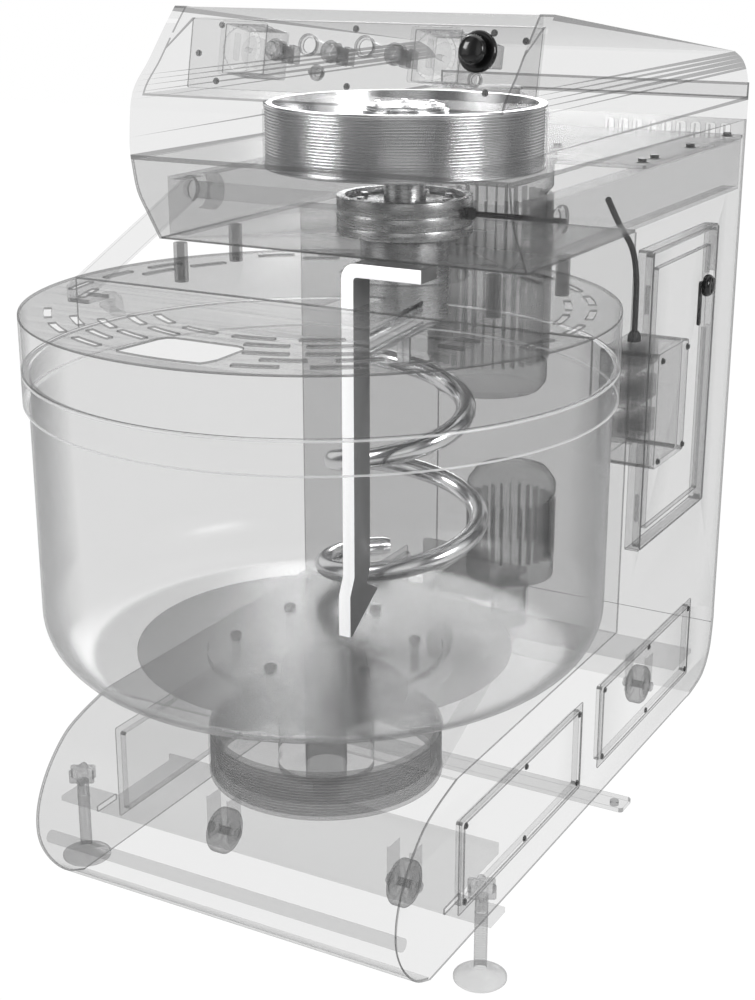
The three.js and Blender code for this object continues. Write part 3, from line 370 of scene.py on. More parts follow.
plate_low, plate_high = box_mm("side_plate_right")
SHEET = 3.0
NOSE, REAR, GROUND = plate_low.y, plate_high.y, plate_low.z
SEAM = plate_high.z
HALF = plate_high.x
INNER = HALF - SHEET - 0.3
BASE_TOP = box_mm("base_deck")[1].z
COLUMN_Y = box_mm("column_front_plate")[0].y
HEAD_Z = box_mm("head_pan")[0].z
HEAD_FRONT = box_mm("head_cover")[0].y - 1.0
TOP = box_mm("head_cover")[1].z

nose_run = smooth_run([
    (NOSE + 168, BASE_TOP), (NOSE + 112, BASE_TOP - 14), (NOSE + 70, BASE_TOP - 32), (NOSE + 30, BASE_TOP - 70),
    (NOSE + 6, BASE_TOP - 115), (NOSE + 3, GROUND + 100), (NOSE + 21, GROUND + 58), (NOSE + 55, GROUND + 20),
    (NOSE + 95, GROUND),
], 6)
rear_foot_run = smooth_run([
    (REAR, GROUND + 130), (REAR, GROUND + 100), (REAR - 12, GROUND + 46), (REAR - 46, GROUND + 12),
    (REAR - 105, GROUND), (REAR - 130, GROUND),
], 5)
head_front_run = smooth_run([
    (HEAD_FRONT + 60, HEAD_Z), (HEAD_FRONT + 35, HEAD_Z + 37), (HEAD_FRONT + 12, HEAD_Z + 74),
    (HEAD_FRONT + 2, SEAM),
], 4)
body_outline = [*nose_run, *reversed(rear_foot_run), (REAR, SEAM), *reversed(head_front_run),
                (COLUMN_Y, HEAD_Z), (COLUMN_Y, BASE_TOP)]
foot_low, foot_high = box_mm("levelling_foot_right")
FOOT_Y = (foot_low.y + foot_high.y) / 2
FOOT_TONGUE = (FOOT_Y - 22.3, FOOT_Y + 22.3, 95.7, 104.3)
tongue_slot = rectangle(*FOOT_TONGUE)
PIVOT = Vector((0, HEAD_FRONT + 146, HEAD_Z + 59))
pivot_hole = ring_of(PIVOT.y, PIVOT.z, 13.8, 48)
door_low, door_high = box_mm("column_door")
door_opening = rectangle(door_low.y - 1.5, door_high.y + 1.5, door_low.z - 1.5, door_high.z + 1.5, 4)
panel_boxes = [box_mm("base_panel_front_right"), box_mm("base_panel_rear_right")]
LAP = 10.0
panel_openings = [rectangle(a.y + LAP, b.y - LAP, a.z + LAP, b.z - LAP, 6) for a, b in panel_boxes]

left_plate = plate(body_outline, [tongue_slot, pivot_hole], SHEET, FACING_X, (-HALF + SHEET / 2, 0, 0), 0.5)
sheet_piece("side_plate_left_skin", left_plate, "frame", "clear_shell", clear_sheet, "side_plate_left")
right_plate = plate(body_outline, [tongue_slot, pivot_hole, door_opening, *panel_openings], SHEET, FACING_X,
                    (HALF - SHEET / 2, 0, 0), 0.5)
sheet_piece("side_plate_right_skin", right_plate, "frame", "clear_shell", clear_sheet, "side_plate_right")


def frame_outline(outer, inner, thickness, facing, at, rounding=0.3):
    """Flat frame between an outer and an inner outline."""
    return plate(outer, [inner], thickness, facing, at, rounding)


def grown(low, high, by):
    """Outline of a box seen from the side, made larger all round."""
    return rectangle(low.y - by, high.y + by, low.z - by, high.z + by, 4)


FLANGE = 22.0
CAM_DROP = 18.0
latch_low, latch_high = box_mm("door_latch")
latch_y = (latch_low.y + latch_high.y) / 2
latch_z = latch_high.z - CAM_DROP
cam_gate = plate(rectangle(door_high.y - 10, door_high.y + 12, latch_z - 14, latch_z + 14), [], 14, FACING_X,
                 (HALF - 7, 0, 0))
flange = frame_outline(grown(door_low, door_high, 4), grown(door_low, door_high, 2), FLANGE, FACING_X,
                       (HALF - SHEET - 0.5 - FLANGE / 2, 0, 0))
flange_mesh = boolean(flange, cam_gate, "DIFFERENCE")
sheet_piece("door_frame_flange", flange_mesh, "frame", "clear_frame", clear_fold)

# ---------------------------------------------------------------- nose, rear cover and base panels
# The nose is one bent sheet between the side plates; the rear cover closes the back down to the floor edge.
# Base panels sit behind their openings and are held by small screws.


def offset_run(run, distance):
    """The run moved to its left by a distance, all along."""
    moved = []
    for i, point in enumerate(run):
        before = Vector(run[max(i - 1, 0)])
        after = Vector(run[min(i + 1, len(run) - 1)])
        along = (after - before).normalized()
        moved.append((point[0] - along.y * distance, point[1] + along.x * distance))
    return moved


def bent_sheet(run, thickness, x0, x1):
    """Sheet that follows a run in (y, z), its thickness to the left of the run."""
    inner = offset_run(run, thickness)
    return plate([*run, *reversed(inner)], [], x1 - x0, FACING_X, ((x0 + x1) / 2, 0, 0))


nose = bent_sheet(nose_run, SHEET, -INNER, INNER)
sheet_piece("nose_cover_sheet", nose, "frame", "clear_shell", clear_sheet, "nose_cover")

LOUVRES = 9
LOUVRE_START = 34.0
LOUVRE_STEP = 26.0
LOUVRE_WIDTH = 18.0
rear_run = [*reversed(rear_foot_run[5:-5]), (REAR, SEAM)]
rear_bend = bent_sheet([p for p in rear_run if p[1] <= GROUND + 100.5], SHEET, -INNER, INNER)
louvre_starts = [LOUVRE_START + i * LOUVRE_STEP for i in range(LOUVRES)]
louvre_holes = [rectangle(x, x + LOUVRE_WIDTH, SEAM - 42, SEAM - 8, 5) for x in louvre_starts]
rear_wall = plate(rectangle(-INNER, INNER, GROUND + 100, SEAM), louvre_holes, SHEET, FACING_Y,
                  (0, REAR - SHEET / 2, 0))
sheet_piece("rear_cover_sheet", joined(rear_bend, rear_wall), "frame", "clear_shell", clear_sheet, "rear_cover")
blade_shape = [(0, 0), (5, -7), (5.8, -7), (1, 0)]
blades = [plate(blade_shape, [], 30, FACING_UP, (x + 7, REAR - SHEET - 3.2, SEAM - 25)) for x in louvre_starts]
sheet_piece("louvre_blades", joined(*blades), "frame", "clear_frame", clear_fold)

for name, (low, high) in zip(("front", "rear"), panel_boxes):
    for side in ("right", "left"):
        x = INNER - 1.0 if side == "right" else -INNER + 1.0
        sheet = plate(rectangle(low.y, high.y, low.z, high.z, 3), [], 2.0, FACING_X, (x, 0, 0), 0.4)
        flange = frame_outline(rectangle(low.y + 9, high.y - 9, low.z + 9, high.z - 9, 4),
                               rectangle(low.y + 11, high.y - 11, low.z + 11, high.z - 11, 3), 9,
                               FACING_X, (x - math.copysign(5.6, x), 0, 0))
        both = joined(sheet, flange)
        nodes = (f"base_panel_{name}_right",) if side == "right" else ()
        sheet_piece(f"base_panel_{name}_{side}_sheet", both, "frame", "clear_shell", clear_sheet, *nodes)
keep_node("base_deck", clear_frame, see=True)
keep_node("column_front_plate", clear_frame, see=True)

# ---------------------------------------------------------------- cross members, casters, levelling feet
# Bent pans under the base carry four rubber-tyred casters; two threaded feet with star knobs steady the nose.
# The wheels are turned solids with a hub, and roll; the feet screw up and down in the front pan's tongues.


def eased(profile, radius, ring=False):
    """The profile with its corners rounded."""
    points = []
    count = len(profile)
    for i, corner in enumerate(profile):
        if not ring and i in (0, count - 1):
            points.append(corner)
            continue
        here = Vector(corner)
        back = Vector(profile[i - 1]) - here
        ahead = Vector(profile[(i + 1) % count]) - here
        cut = min(radius, back.length * 0.45, ahead.length * 0.45)
        start = here + back.normalized() * cut
        end = here + ahead.normalized() * cut
        for t in (0.0, 0.5, 1.0):
            points.append(tuple(start * (1 - t) ** 2 + here * 2 * t * (1 - t) + end * t * t))
    return points


def lathe(profile, x=0.0, y=0.0, steps=96, ring=False):
    """Profile of (radius, height) turned about an upright axis; a ring's profile closes on itself."""
    made = bmesh.new()
    rows = []
    for radius, z in profile:
        if radius < 1e-6:
            rows.append([made.verts.new((x, y, z))])
        else:
            rows.append([made.verts.new((u, v, z)) for u, v in ring_of(x, y, radius, steps)])
    pairs = list(zip(rows, rows[1:]))
    if ring:
        pairs.append((rows[-1], rows[0]))
    for low, high in pairs:
        for k in range(steps):
            n = (k + 1) % steps
            if len(low) == 1 and len(high) == 1:
                continue
            if len(low) == 1:
                made.faces.new((low[0], high[n], high[k]))
            elif len(high) == 1:
                made.faces.new((low[k], low[n], high[0]))
            else:
                made.faces.new((low[k], low[n], high[n], high[k]))
    bmesh.ops.recalc_face_normals(made, faces=made.faces)
    mesh = bpy.data.meshes.new("turned")
    made.to_mesh(mesh)
    made.free()
    return mesh


def aimed(mesh, axis, place):
    """A mesh made about the upright axis, laid along another axis and moved."""
    mesh.transform(Matrix.Translation(place) @ Vector(axis).to_track_quat("Z", "Y").to_matrix().to_4x4())
    return mesh


def metal(name, grey, roughness, grain, stretch, metallic=1.0, bump=0.03):
    """Worked metal with a directional grain in its gloss and its surface."""
    material = bpy.data.materials.new(name)
    material.use_nodes = True
    tree = material.node_tree
    shader = tree.nodes["Principled BSDF"]
    shader.inputs["Base Color"].default_value = (grey, grey * 1.003, grey * 1.008, 1)
    shader.inputs["Metallic"].default_value = metallic
    place = tree.nodes.new("ShaderNodeTexCoord")
    mapping = tree.nodes.new("ShaderNodeMapping")
    mapping.inputs["Scale"].default_value = stretch
    noise = tree.nodes.new("ShaderNodeTexNoise")
    noise.inputs["Scale"].default_value = grain
    noise.inputs["Detail"].default_value = 4.0
    gloss = tree.nodes.new("ShaderNodeMapRange")
    gloss.inputs["To Min"].default_value = roughness * 0.7
    gloss.inputs["To Max"].default_value = roughness * 1.4
    relief = tree.nodes.new("ShaderNodeBump")
    relief.inputs["Strength"].default_value = bump
    relief.inputs["Distance"].default_value = 0.001
    link = tree.links.new
    link(place.outputs["Object"], mapping.inputs["Vector"])
    link(mapping.outputs["Vector"], noise.inputs["Vector"])
    link(noise.outputs["Fac"], gloss.inputs["Value"])
    link(gloss.outputs["Result"], shader.inputs["Roughness"])
    link(noise.outputs["Fac"], relief.inputs["Height"])
    link(relief.outputs["Normal"], shader.inputs["Normal"])
    return material


clear_rubber = see_through("clear_rubber", 0.80, 0.22, 0.16, 0.75, roughness=0.6, start=0.3)
clear_steel = see_through("clear_steel", 0.86, 0.45, 0.14, 0.8, roughness=0.25, metallic=0.8, start=0.25)
keep_node("front_cross_member", clear_frame, see=True)
keep_node("rear_cross_member", clear_frame, see=True)

tread = eased([
    (6.3, 0), (14, 0), (14, -1), (22, -1), (22, 2), (29.5, 0), (34.5, 5), (34.5, 23), (29.5, 28), (22, 26),
    (22, 29), (14, 29), (14, 28), (6.3, 28),
], 2.0, ring=True)
nut_profile = eased([(0, 0), (9, 0), (9, 6), (0, 6)], 1.5)
NUT_REACH = 21.0
for end in ("front", "rear"):
    for side in ("left", "right"):
        node = f"caster_wheel_{end}_{side}"
        low, high = box_mm(node)
        centre = (low + high) / 2
        wheel = aimed(lathe([(r, z - 14) for r, z in tread], steps=56, ring=True), (1, 0, 0), centre)
        piece(f"{node}_tread", wheel, f"wheel_{end}_{side}", "wheel_rubber", clear_rubber, node, see=True)
        nuts = [aimed(lathe(nut_profile, steps=6), (way, 0, 0), centre + Vector((way * NUT_REACH, 0, 0)))
                for way in (1, -1)]
        piece(f"{node}_axle_nuts", joined(*nuts), "frame", "clear_frame", clear_steel, see=True)


def star_knob(z0, height, radius, lobes=6, wave=3.5):
    """Lobed knob outline pulled upwards."""
    outline = []
    for k in range(lobes * 8):
        a = 2 * math.pi * k / (lobes * 8)
        reach = radius - wave + wave * math.cos(lobes * a)
        outline.append((reach * math.cos(a), reach * math.sin(a)))
    return plate(outline, [], height, FACING_UP, (0, 0, z0 + height / 2), 1.5)


for side in ("left", "right"):
    node = f"levelling_foot_{side}"
    low, high = box_mm(node)
    x, y = (low.x + high.x) / 2, (low.y + high.y) / 2
    knob_z = high.z - 20
    profile = [(0, 0), (34, 0), (36, 2), (36, 5), (30, 8), (14, 11), (9, 15)]
    threads = 30
    thread_pitch = (knob_z - 17) / threads
    for k in range(threads + 1):
        z = 16 + k * thread_pitch
        profile += [(9.0, z), (8.0, z + 0.5 * thread_pitch)]
    profile += [(9, knob_z), (0, knob_z)]
    stem = lathe(profile, steps=40)
    knob = star_knob(knob_z, 20, 21)
    whole = joined(stem, knob)
    whole.transform(Matrix.Translation((x, y, 0)))
    piece(f"{node}_screw", whole, f"foot_{side}", "foot_steel", clear_steel, node, see=True)

tab_low, tab_high = box_mm("anchor_plate")
TAB_X = HALF + 26
tab_y = (tab_low.y + tab_high.y) / 2
tab = plate(rectangle(tab_low.x, tab_high.x, tab_low.y, tab_high.y, 6),
            [ring_of(-TAB_X, tab_y, 7), ring_of(TAB_X, tab_y, 7)],
            tab_high.z - tab_low.z, FACING_UP, (0, 0, (tab_low.z + tab_high.z) / 2), 0.6)
sheet_piece("anchor_plate_bar", tab, "frame", "clear_frame", clear_frame, "anchor_plate")
tie_low, tie_high = box_mm("nose_tie_bar")
tie_centre = (tie_low + tie_high) / 2
reach = tie_high.x
tie_rod = lathe(eased([(0, -reach), (9, -reach), (9, reach), (0, reach)], 1.0), steps=40)
tie = aimed(tie_rod, (1, 0, 0), tie_centre)
piece("nose_tie_rod", tie, "frame", "clear_frame", clear_frame, "nose_tie_bar", see=True)

# ---------------------------------------------------------------- column door, its latch, the electrical box
# A folded sheet door hangs on two concealed pins at its front edge and closes with a quarter-turn cam latch.
# Behind it hangs the electrical box with its screwed lid, fed by one cable from the head.
black_gloss = metal("black_gloss", 0.012, 0.12, 40.0, (1, 1, 1), metallic=0.0, bump=0.0)
door = plate(rectangle(door_low.y, door_high.y, door_low.z, door_high.z, 3),
             [ring_of(latch_y, latch_z, 6.3)], SHEET, FACING_X, (HALF - SHEET / 2, 0, 0), 0.6)
door_fold = frame_outline(grown(door_low, door_high, -1.5), grown(door_low, door_high, -3.5), 12, FACING_X,
                          (HALF - SHEET - 6.2, 0, 0))


def latch_way(x_from, x_to):
    """Space that the latch's cam sweeps on its way behind the frame."""
    return plate(rectangle(latch_y + 16, latch_y + 78, latch_z - 76, latch_z + 16), [], x_to - x_from, FACING_X,
                 ((x_from + x_to) / 2, 0, 0))


door_fold = boolean(door_fold, latch_way(HALF - 14, HALF - SHEET - 0.5), "DIFFERENCE")
sheet_piece("column_door_sheet", joined(door, door_fold), "door", "clear_shell", clear_sheet, "column_door")
stiffener = frame_outline(grown(door_low, door_high, -26), grown(door_low, door_high, -28), 8, FACING_X,
                          (HALF - SHEET - 4.2, 0, 0))
stiffener = boolean(stiffener, latch_way(HALF - 14, HALF - SHEET - 0.1), "DIFFERENCE")
sheet_piece("column_door_stiffener", stiffener, "door", "clear_frame", clear_fold)

knob = aimed(lathe(eased([(0, 0.3), (18, 0.3), (18, 7), (15, 12), (5, 12), (5, 10), (0, 10)], 1.2), steps=48),
             (1, 0, 0), (HALF, latch_y, latch_z))
grip = plate(rectangle(-3, 3, -13, 13, 2.5), [], 4, FACING_X, (HALF + 10, latch_y, latch_z), 0.8)
shank = aimed(lathe([(0, -9), (6, -9), (6, 1), (0, 1)], steps=24), (1, 0, 0), (HALF, latch_y, latch_z))
cam = plate(rectangle(-6, 6, -68, 6, 5), [], 3.5, FACING_X, (HALF - 7.2, latch_y, latch_z), 0.5)
piece("door_latch_cam", joined(knob, grip, shank, cam), "latch", "black_plastic", black_gloss, "door_latch")

for index, z in enumerate((door_low.z + 70, door_high.z - 70)):
    pin = lathe(eased([(0, -22), (3.2, -22), (3.2, 22), (0, 22)], 0.8), HALF - SHEET - 4.5, door_low.y - 4.8,
                24)
    pin.transform(Matrix.Translation((0, 0, z)))
    piece(f"door_hinge_pin_{index + 1}", pin, "frame", "clear_frame", clear_steel, see=True)

clear_case = see_through("clear_case", 0.93, 0.3, 0.05, 0.6, roughness=0.4)
case_low, case_high = box_mm("electrical_box")
LID_DEPTH = 14
case_outline = rectangle(case_low.y, case_high.y, case_low.z, case_high.z, 6)
case_hollow = rectangle(case_low.y + 2, case_high.y - 2, case_low.z + 2, case_high.z - 2, 5)
tub = frame_outline(case_outline, case_hollow, case_high.x - case_low.x - LID_DEPTH, FACING_X,
                    ((case_low.x + case_high.x - LID_DEPTH) / 2, 0, 0))
back = plate(case_outline, [], 2, FACING_X, (case_low.x + 1, 0, 0), 0.3)
lid = plate(case_outline, [], LID_DEPTH - 0.4, FACING_X, (case_high.x - LID_DEPTH / 2 + 0.2, 0, 0), 2.0)
sheet_piece("electrical_box_case", joined(tub, back, lid), "frame", "clear_frame", clear_case, "electrical_box")
parts_inside = []
for row in range(3):
    z = case_low.z + 32 + row * 58
    for k in range(4):
        y = case_low.y + 16 + k * 28
        block = plate(rectangle(y, y + 24, z, z + 38, 2), [], 46, FACING_X, (case_low.x + 30, 0, 0), 1.0)
        parts_inside.append(block)
piece("contactors", joined(*parts_inside), "frame", "black_plastic",
      see_through("clear_contactors", 0.84, 0.2, 0.08, 0.7), see=True)

cable_rubber = metal("cable_rubber", 0.05, 0.45, 200.0, (1, 1, 0.05), metallic=0.0, bump=0.02)
cable_low, cable_high = box_mm("motor_cable")
cable_x = (cable_low.x + cable_high.x) / 2


def rod(points, radii, sides=24):
    """Round bar that follows a run of points with a radius at each, its ends closed."""
    curve = bpy.data.curves.new("rod", "CURVE")
    curve.dimensions = "3D"
    curve.bevel_depth = 1.0
    curve.bevel_resolution = max(sides // 4 - 1, 1)
    curve.use_fill_caps = True
    spline = curve.splines.new("POLY")
    spline.points.add(len(points) - 1)
    for point, place, radius in zip(spline.points, points, radii):
        point.co = (*place, 1)
        point.radius = radius
    obj = bpy.data.objects.new("rod", curve)
    scene.collection.objects.link(obj)
    mesh = made_mesh(obj)
    clean = bmesh.new()
    clean.from_mesh(mesh)
    bmesh.ops.remove_doubles(clean, verts=clean.verts, dist=0.001)
    bmesh.ops.recalc_face_normals(clean, faces=clean.faces)
    clean.to_mesh(mesh)
    clean.free()
    return mesh


cable_run = smooth_run([
    (cable_x, case_low.y - 70, HEAD_Z + 30), (cable_x, case_low.y - 20, HEAD_Z - 14),
    (cable_x, case_low.y + 42, HEAD_Z - 62), (cable_x, case_low.y + 66, HEAD_Z - 110),
    (cable_x, case_low.y + 70, case_high.z + 60), (cable_x, case_low.y + 70, case_high.z + 0.3),
], 8)
cable = rod(cable_run, [4.8] * len(cable_run), 20)
piece("motor_cable_sheath", cable, "frame", "cable_rubber", cable_rubber, "motor_cable")
gland = lathe(eased([(5.4, 0.3), (11, 0.3), (11, 9), (8, 16), (5.4, 18)], 1.0, ring=True), cable_x,
              case_low.y + 70, 32, ring=True)
gland.transform(Matrix.Translation((0, 0, case_high.z)))
piece("cable_gland", gland, "frame", "cable_rubber", cable_rubber)

# ---------------------------------------------------------------- head pan, channels, motor deck
# A curled pan closes the head from below, between two open channels; the motor deck bridges them at the rear.
# Everything is folded sheet, so edges are thin and corners have small bends.
PAN_HOLE = 40
spiral_low, spiral_high = box_mm("spiral_pulley")
SPIRAL_Y = (spiral_low.y + spiral_high.y) / 2
curl_run = list(reversed(head_front_run))
curl_run[0] = (curl_run[0][0], SEAM - 0.3)
curl = bent_sheet(curl_run, SHEET, -INNER, INNER)
pan_flat = plate(rectangle(-INNER, INNER, HEAD_FRONT + 61, COLUMN_Y + SHEET),
                 [ring_of(0, SPIRAL_Y, PAN_HOLE, 48)], SHEET, FACING_UP, (0, 0, HEAD_Z + SHEET / 2), 0.3)
sheet_piece("head_pan_sheet", joined(curl, pan_flat), "frame", "clear_shell", clear_fold, "head_pan")
keep_node("head_channel_left", clear_frame, see=True)
keep_node("head_channel_right", clear_frame, see=True)
deck_low, deck_high = box_mm("motor_deck")
motor_low, motor_high = box_mm("spiral_motor")
MOTOR_Y = (motor_low.y + motor_high.y) / 2
tension_slots = [rectangle(side * 80 - 6, side * 80 + 6, MOTOR_Y + dy - 22, MOTOR_Y + dy + 22, 5.5)
                 for side in (-1, 1) for dy in (-70, 70)]
deck = plate(rectangle(deck_low.x, deck_high.x, deck_low.y, deck_high.y, 4),
             [ring_of(0, MOTOR_Y, 26, 40), *tension_slots],
             deck_high.z - deck_low.z, FACING_UP, (0, 0, (deck_low.z + deck_high.z) / 2), 0.6)
sheet_piece("motor_deck_plate", deck, "frame", "clear_frame", clear_frame, "motor_deck")

# ---------------------------------------------------------------- head cover with the panel's recess
# One folded and welded hood over the head; its front falls back to a recess, in which the panel stands.
# It is cut from its solid outline, hollowed, and the recess's own skin is added.
cover_front_run = smooth_run([
    (HEAD_FRONT + 2, SEAM + 0.3), (HEAD_FRONT + 1, SEAM + 30), (HEAD_FRONT + 12, TOP - 110),
    (HEAD_FRONT + 52, TOP - 69), (HEAD_FRONT + 90, TOP - 28), (HEAD_FRONT + 118, TOP),
], 6)
ROOF_DROP = 84
roof_rear_run = smooth_run([
    (REAR - 88, TOP - ROOF_DROP), (REAR - 43, TOP - ROOF_DROP - 16), (REAR - 13, TOP - ROOF_DROP - 42),
    (REAR - 2, TOP - ROOF_DROP - 80), (REAR, SEAM + 60), (REAR, SEAM + 0.3),
], 6)
cover_run = [*cover_front_run, *roof_rear_run]
hollow_run = offset_run(cover_run, -SHEET)
hollow_run[0] = (hollow_run[0][0], SEAM - 6)
hollow_run[-1] = (hollow_run[-1][0], SEAM - 6)
panel_low, panel_high = box_mm("control_panel")
RECESS_X = panel_high.x + 0.3
RECESS_FLOOR = box_mm("spiral_pulley")[1].z + 19
RECESS_FRONT = HEAD_FRONT + 110
RECESS_HEIGHT = TOP - 16 - RECESS_FLOOR
TILT = math.radians(12)
LEAN = RECESS_HEIGHT * math.tan(TILT)
SEAT = 9
hood = plate(cover_run, [], 2 * HALF, FACING_X, (0, 0, 0))
core = plate(hollow_run, [], 2 * (HALF - SHEET), FACING_X, (0, 0, 0))
recess_skin = plate([
    (HEAD_FRONT - 40, RECESS_FLOOR - SHEET), (RECESS_FRONT + SEAT - 1.6, RECESS_FLOOR - SHEET),
    (RECESS_FRONT + LEAN + SEAT - 1, TOP - 16), (RECESS_FRONT + LEAN + SEAT - 1, TOP - 1),
    (HEAD_FRONT - 40, TOP - 1),
], [], 2 * (RECESS_X + SHEET), FACING_X, (0, 0, 0))
recess_space = plate([
    (HEAD_FRONT - 40, RECESS_FLOOR), (RECESS_FRONT + SEAT, RECESS_FLOOR),
    (RECESS_FRONT + LEAN + SEAT, TOP - 16),
    (RECESS_FRONT + LEAN, TOP - 16), (RECESS_FRONT + LEAN, TOP + 20), (HEAD_FRONT - 40, TOP + 20),
], [], 2 * RECESS_X, FACING_X, (0, 0, 0))
skin = boolean(hood.copy(), recess_skin, "INTERSECT")
hood = boolean(hood, core, "DIFFERENCE")
hood = boolean(hood, skin, "UNION")
hood = boolean(hood, recess_space, "DIFFERENCE")
sheet_piece("head_cover_hood", hood, "frame", "clear_shell", clear_sheet, "head_cover")

# ---------------------------------------------------------------- control panel and its devices
# A flat panel leans back in the recess. It carries two process timers, three illuminated push buttons with
# contact blocks behind, small lamps, a selector and the mushroom-headed stop button.
panel_out = Vector((0, -math.cos(TILT), math.sin(TILT)))
panel_centre = (panel_low + panel_high) / 2 + panel_out * 1.5
PANEL = Matrix.Translation(panel_centre) @ Matrix.Rotation(math.pi / 2 - TILT, 4, "X")


def on_panel(mesh):
    """A mesh made flat, moved to the panel's place and lean."""
    mesh.transform(PANEL)
    return mesh


def turned_on_panel(profile, x, y, steps=48, ring=False):
    """A turned device standing on the panel."""
    return on_panel(lathe(profile, x, y, steps, ring))


DEVICE_Y = 8
timer_places = {"left": -176, "right": 120}
button_places = (-124, -37, 60)
lamp_places = (-72, 15)
LAMP_Y = 16
STOP = (180, 15)
SELECTOR = (-55, -20)
SMALL_LAMP = (180, -20)
panel_half = (panel_high.z - panel_low.z) / 2 / math.cos(TILT) - 0.3
holes = [rectangle(x - 33.3, x + 33.3, DEVICE_Y - 33.3, DEVICE_Y + 33.3, 2) for x in timer_places.values()]
holes += [ring_of(x, DEVICE_Y, 10.3, 32) for x in button_places]
holes += [ring_of(x, LAMP_Y, 10.3, 32) for x in lamp_places]
holes += [ring_of(*STOP, 8.3, 32), ring_of(*SELECTOR, 5.3, 24), ring_of(*SMALL_LAMP, 6, 24)]
panel_plate = plate(rectangle(-panel_high.x, panel_high.x, -panel_half, panel_half, 2), holes, SHEET,
                    FACING_UP, (0, 0, -SHEET / 2), 0.5)
sheet_piece("control_panel_plate", on_panel(panel_plate), "frame", "clear_shell", clear_sheet, "control_panel")

clear_device = see_through("clear_device", 0.97, 0.35, 0.04, 0.75, roughness=0.15, start=0.4)
dark_device = see_through("dark_device", 0.86, 0.14, 0.10, 0.9, roughness=0.2, start=0.3)
for side, x in timer_places.items():
    bezel = plate(rectangle(x - 36, x + 36, DEVICE_Y - 36, DEVICE_Y + 36, 4),
                  [ring_of(x, DEVICE_Y, 31, 64)], 7.5, FACING_UP, (0, 0, 4.1), 1.0)
    case = frame_outline(rectangle(x - 33, x + 33, DEVICE_Y - 33, DEVICE_Y + 33, 3),
                         rectangle(x - 31.5, x + 31.5, DEVICE_Y - 31.5, DEVICE_Y + 31.5, 2), 60, FACING_UP,
                         (0, 0, -30))
    back = plate(rectangle(x - 33, x + 33, DEVICE_Y - 33, DEVICE_Y + 33, 3), [], 1.5, FACING_UP, (0, 0, -59),
                 0.3)
    gear = lathe(eased([(0, -30), (22, -30), (22, -26), (4, -26), (4, -6), (0, -6)], 0.6), x, DEVICE_Y, 48)
    timer = on_panel(joined(bezel, case, back, gear))
    piece(f"timer_{side}_case", timer, "frame", "device_clear", clear_device, f"timer_{side}", see=True)
    dial = lathe(eased([(0, 8.4), (27, 8.4), (27, 12), (24, 15), (0, 15)], 1.2), x, DEVICE_Y, 72)
    grip = plate(rectangle(x - 3, x + 3, DEVICE_Y - 18, DEVICE_Y + 18, 2.5), [], 8, FACING_UP, (0, 0, 18), 1.0)
    marks = []
    for k in range(21):
        a = math.radians(-30 + 300 * k / 20 - 30)
        spot = Matrix.Translation((x, DEVICE_Y, 0)) @ Matrix.Rotation(a, 4, "Z")
        mark = plate(rectangle(28, 30.4 if k % 5 else 31, -0.35, 0.35), [], 0.6, FACING_UP, (0, 0, 8.2))
        mark.transform(spot)
        marks.append(mark)
    piece(f"timer_{side}_dial", on_panel(joined(dial, grip)), f"dial_{side}", "device_clear", clear_device,
          f"timer_dial_{side}", see=True)
    piece(f"timer_{side}_marks", on_panel(joined(*marks)), "frame", "device_clear", dark_device, see=True)

for index, x in enumerate(button_places):
    number = index + 1
    head = turned_on_panel(eased([(0, -10), (10, -10), (10, 12.5), (8.5, 14), (0, 13)], 0.8), x, DEVICE_Y)
    piece(f"push_button_{number}_head", head, f"button_{number}", "button_metal", clear_steel,
          f"push_button_{number}", see=True)
    collar = lathe(eased([(10.6, 0.3), (15, 0.3), (15, 4), (13.5, 6), (10.6, 6)], 0.6, ring=True),
                   x, DEVICE_Y, 48, True)
    nut = lathe(eased([(10.8, -12), (15, -12), (15, -3.4), (10.8, -3.4)], 0.6, ring=True), x, DEVICE_Y, 6, True)
    block = lathe(eased([(0, -28), (11, -28), (11, -15.5), (0, -15.5)], 0.8), x, DEVICE_Y, 32)
    stacks = [plate(rectangle(x + dx - 4, x + dx + 4, DEVICE_Y - 12, DEVICE_Y + 12, 1.5), [], 20, FACING_UP,
                    (0, 0, -39), 0.8) for dx in (-5, 5)]
    contacts = on_panel(joined(block, joined(*stacks)))
    piece(f"push_button_{number}_collar", on_panel(joined(collar, nut)), "frame", "button_metal", dark_device,
          see=True)
    piece(f"push_button_{number}_contacts", contacts, "frame", "device_clear", dark_device, see=True)

for index, x in enumerate(lamp_places):
    lamp = f"pilot_lamp_{index + 1}"
    lens = turned_on_panel(eased([(0, -30), (10, -30), (10, 0.3), (12.4, 0.3), (12.4, 5), (8, 8), (0, 9)], 0.8),
                           x, LAMP_Y)
    piece(f"{lamp}_lens", lens, "frame", "device_clear", clear_device, lamp, see=True)
    bezel = turned_on_panel(eased([(12.6, 0.3), (15, 0.3), (15, 5), (12.6, 6)], 0.6, ring=True),
                            x, LAMP_Y, 56, True)
    piece(f"{lamp}_bezel", bezel, "frame", "button_metal", dark_device, see=True)
small_ring = turned_on_panel(eased([(7.4, 0.3), (10, 0.3), (10, 4), (7.4, 5)], 0.5, ring=True),
                             *SMALL_LAMP, 40, True)
piece("small_lamp_bezel", small_ring, "frame", "button_metal", dark_device, see=True)
small_lens = turned_on_panel(eased([(0, -12), (5.6, -12), (5.6, 0.5), (7.2, 0.5), (7.2, 3), (0, 5)], 0.5),
                             *SMALL_LAMP, 40)
piece("small_lamp_lens", small_lens, "frame", "device_clear", clear_device, see=True)

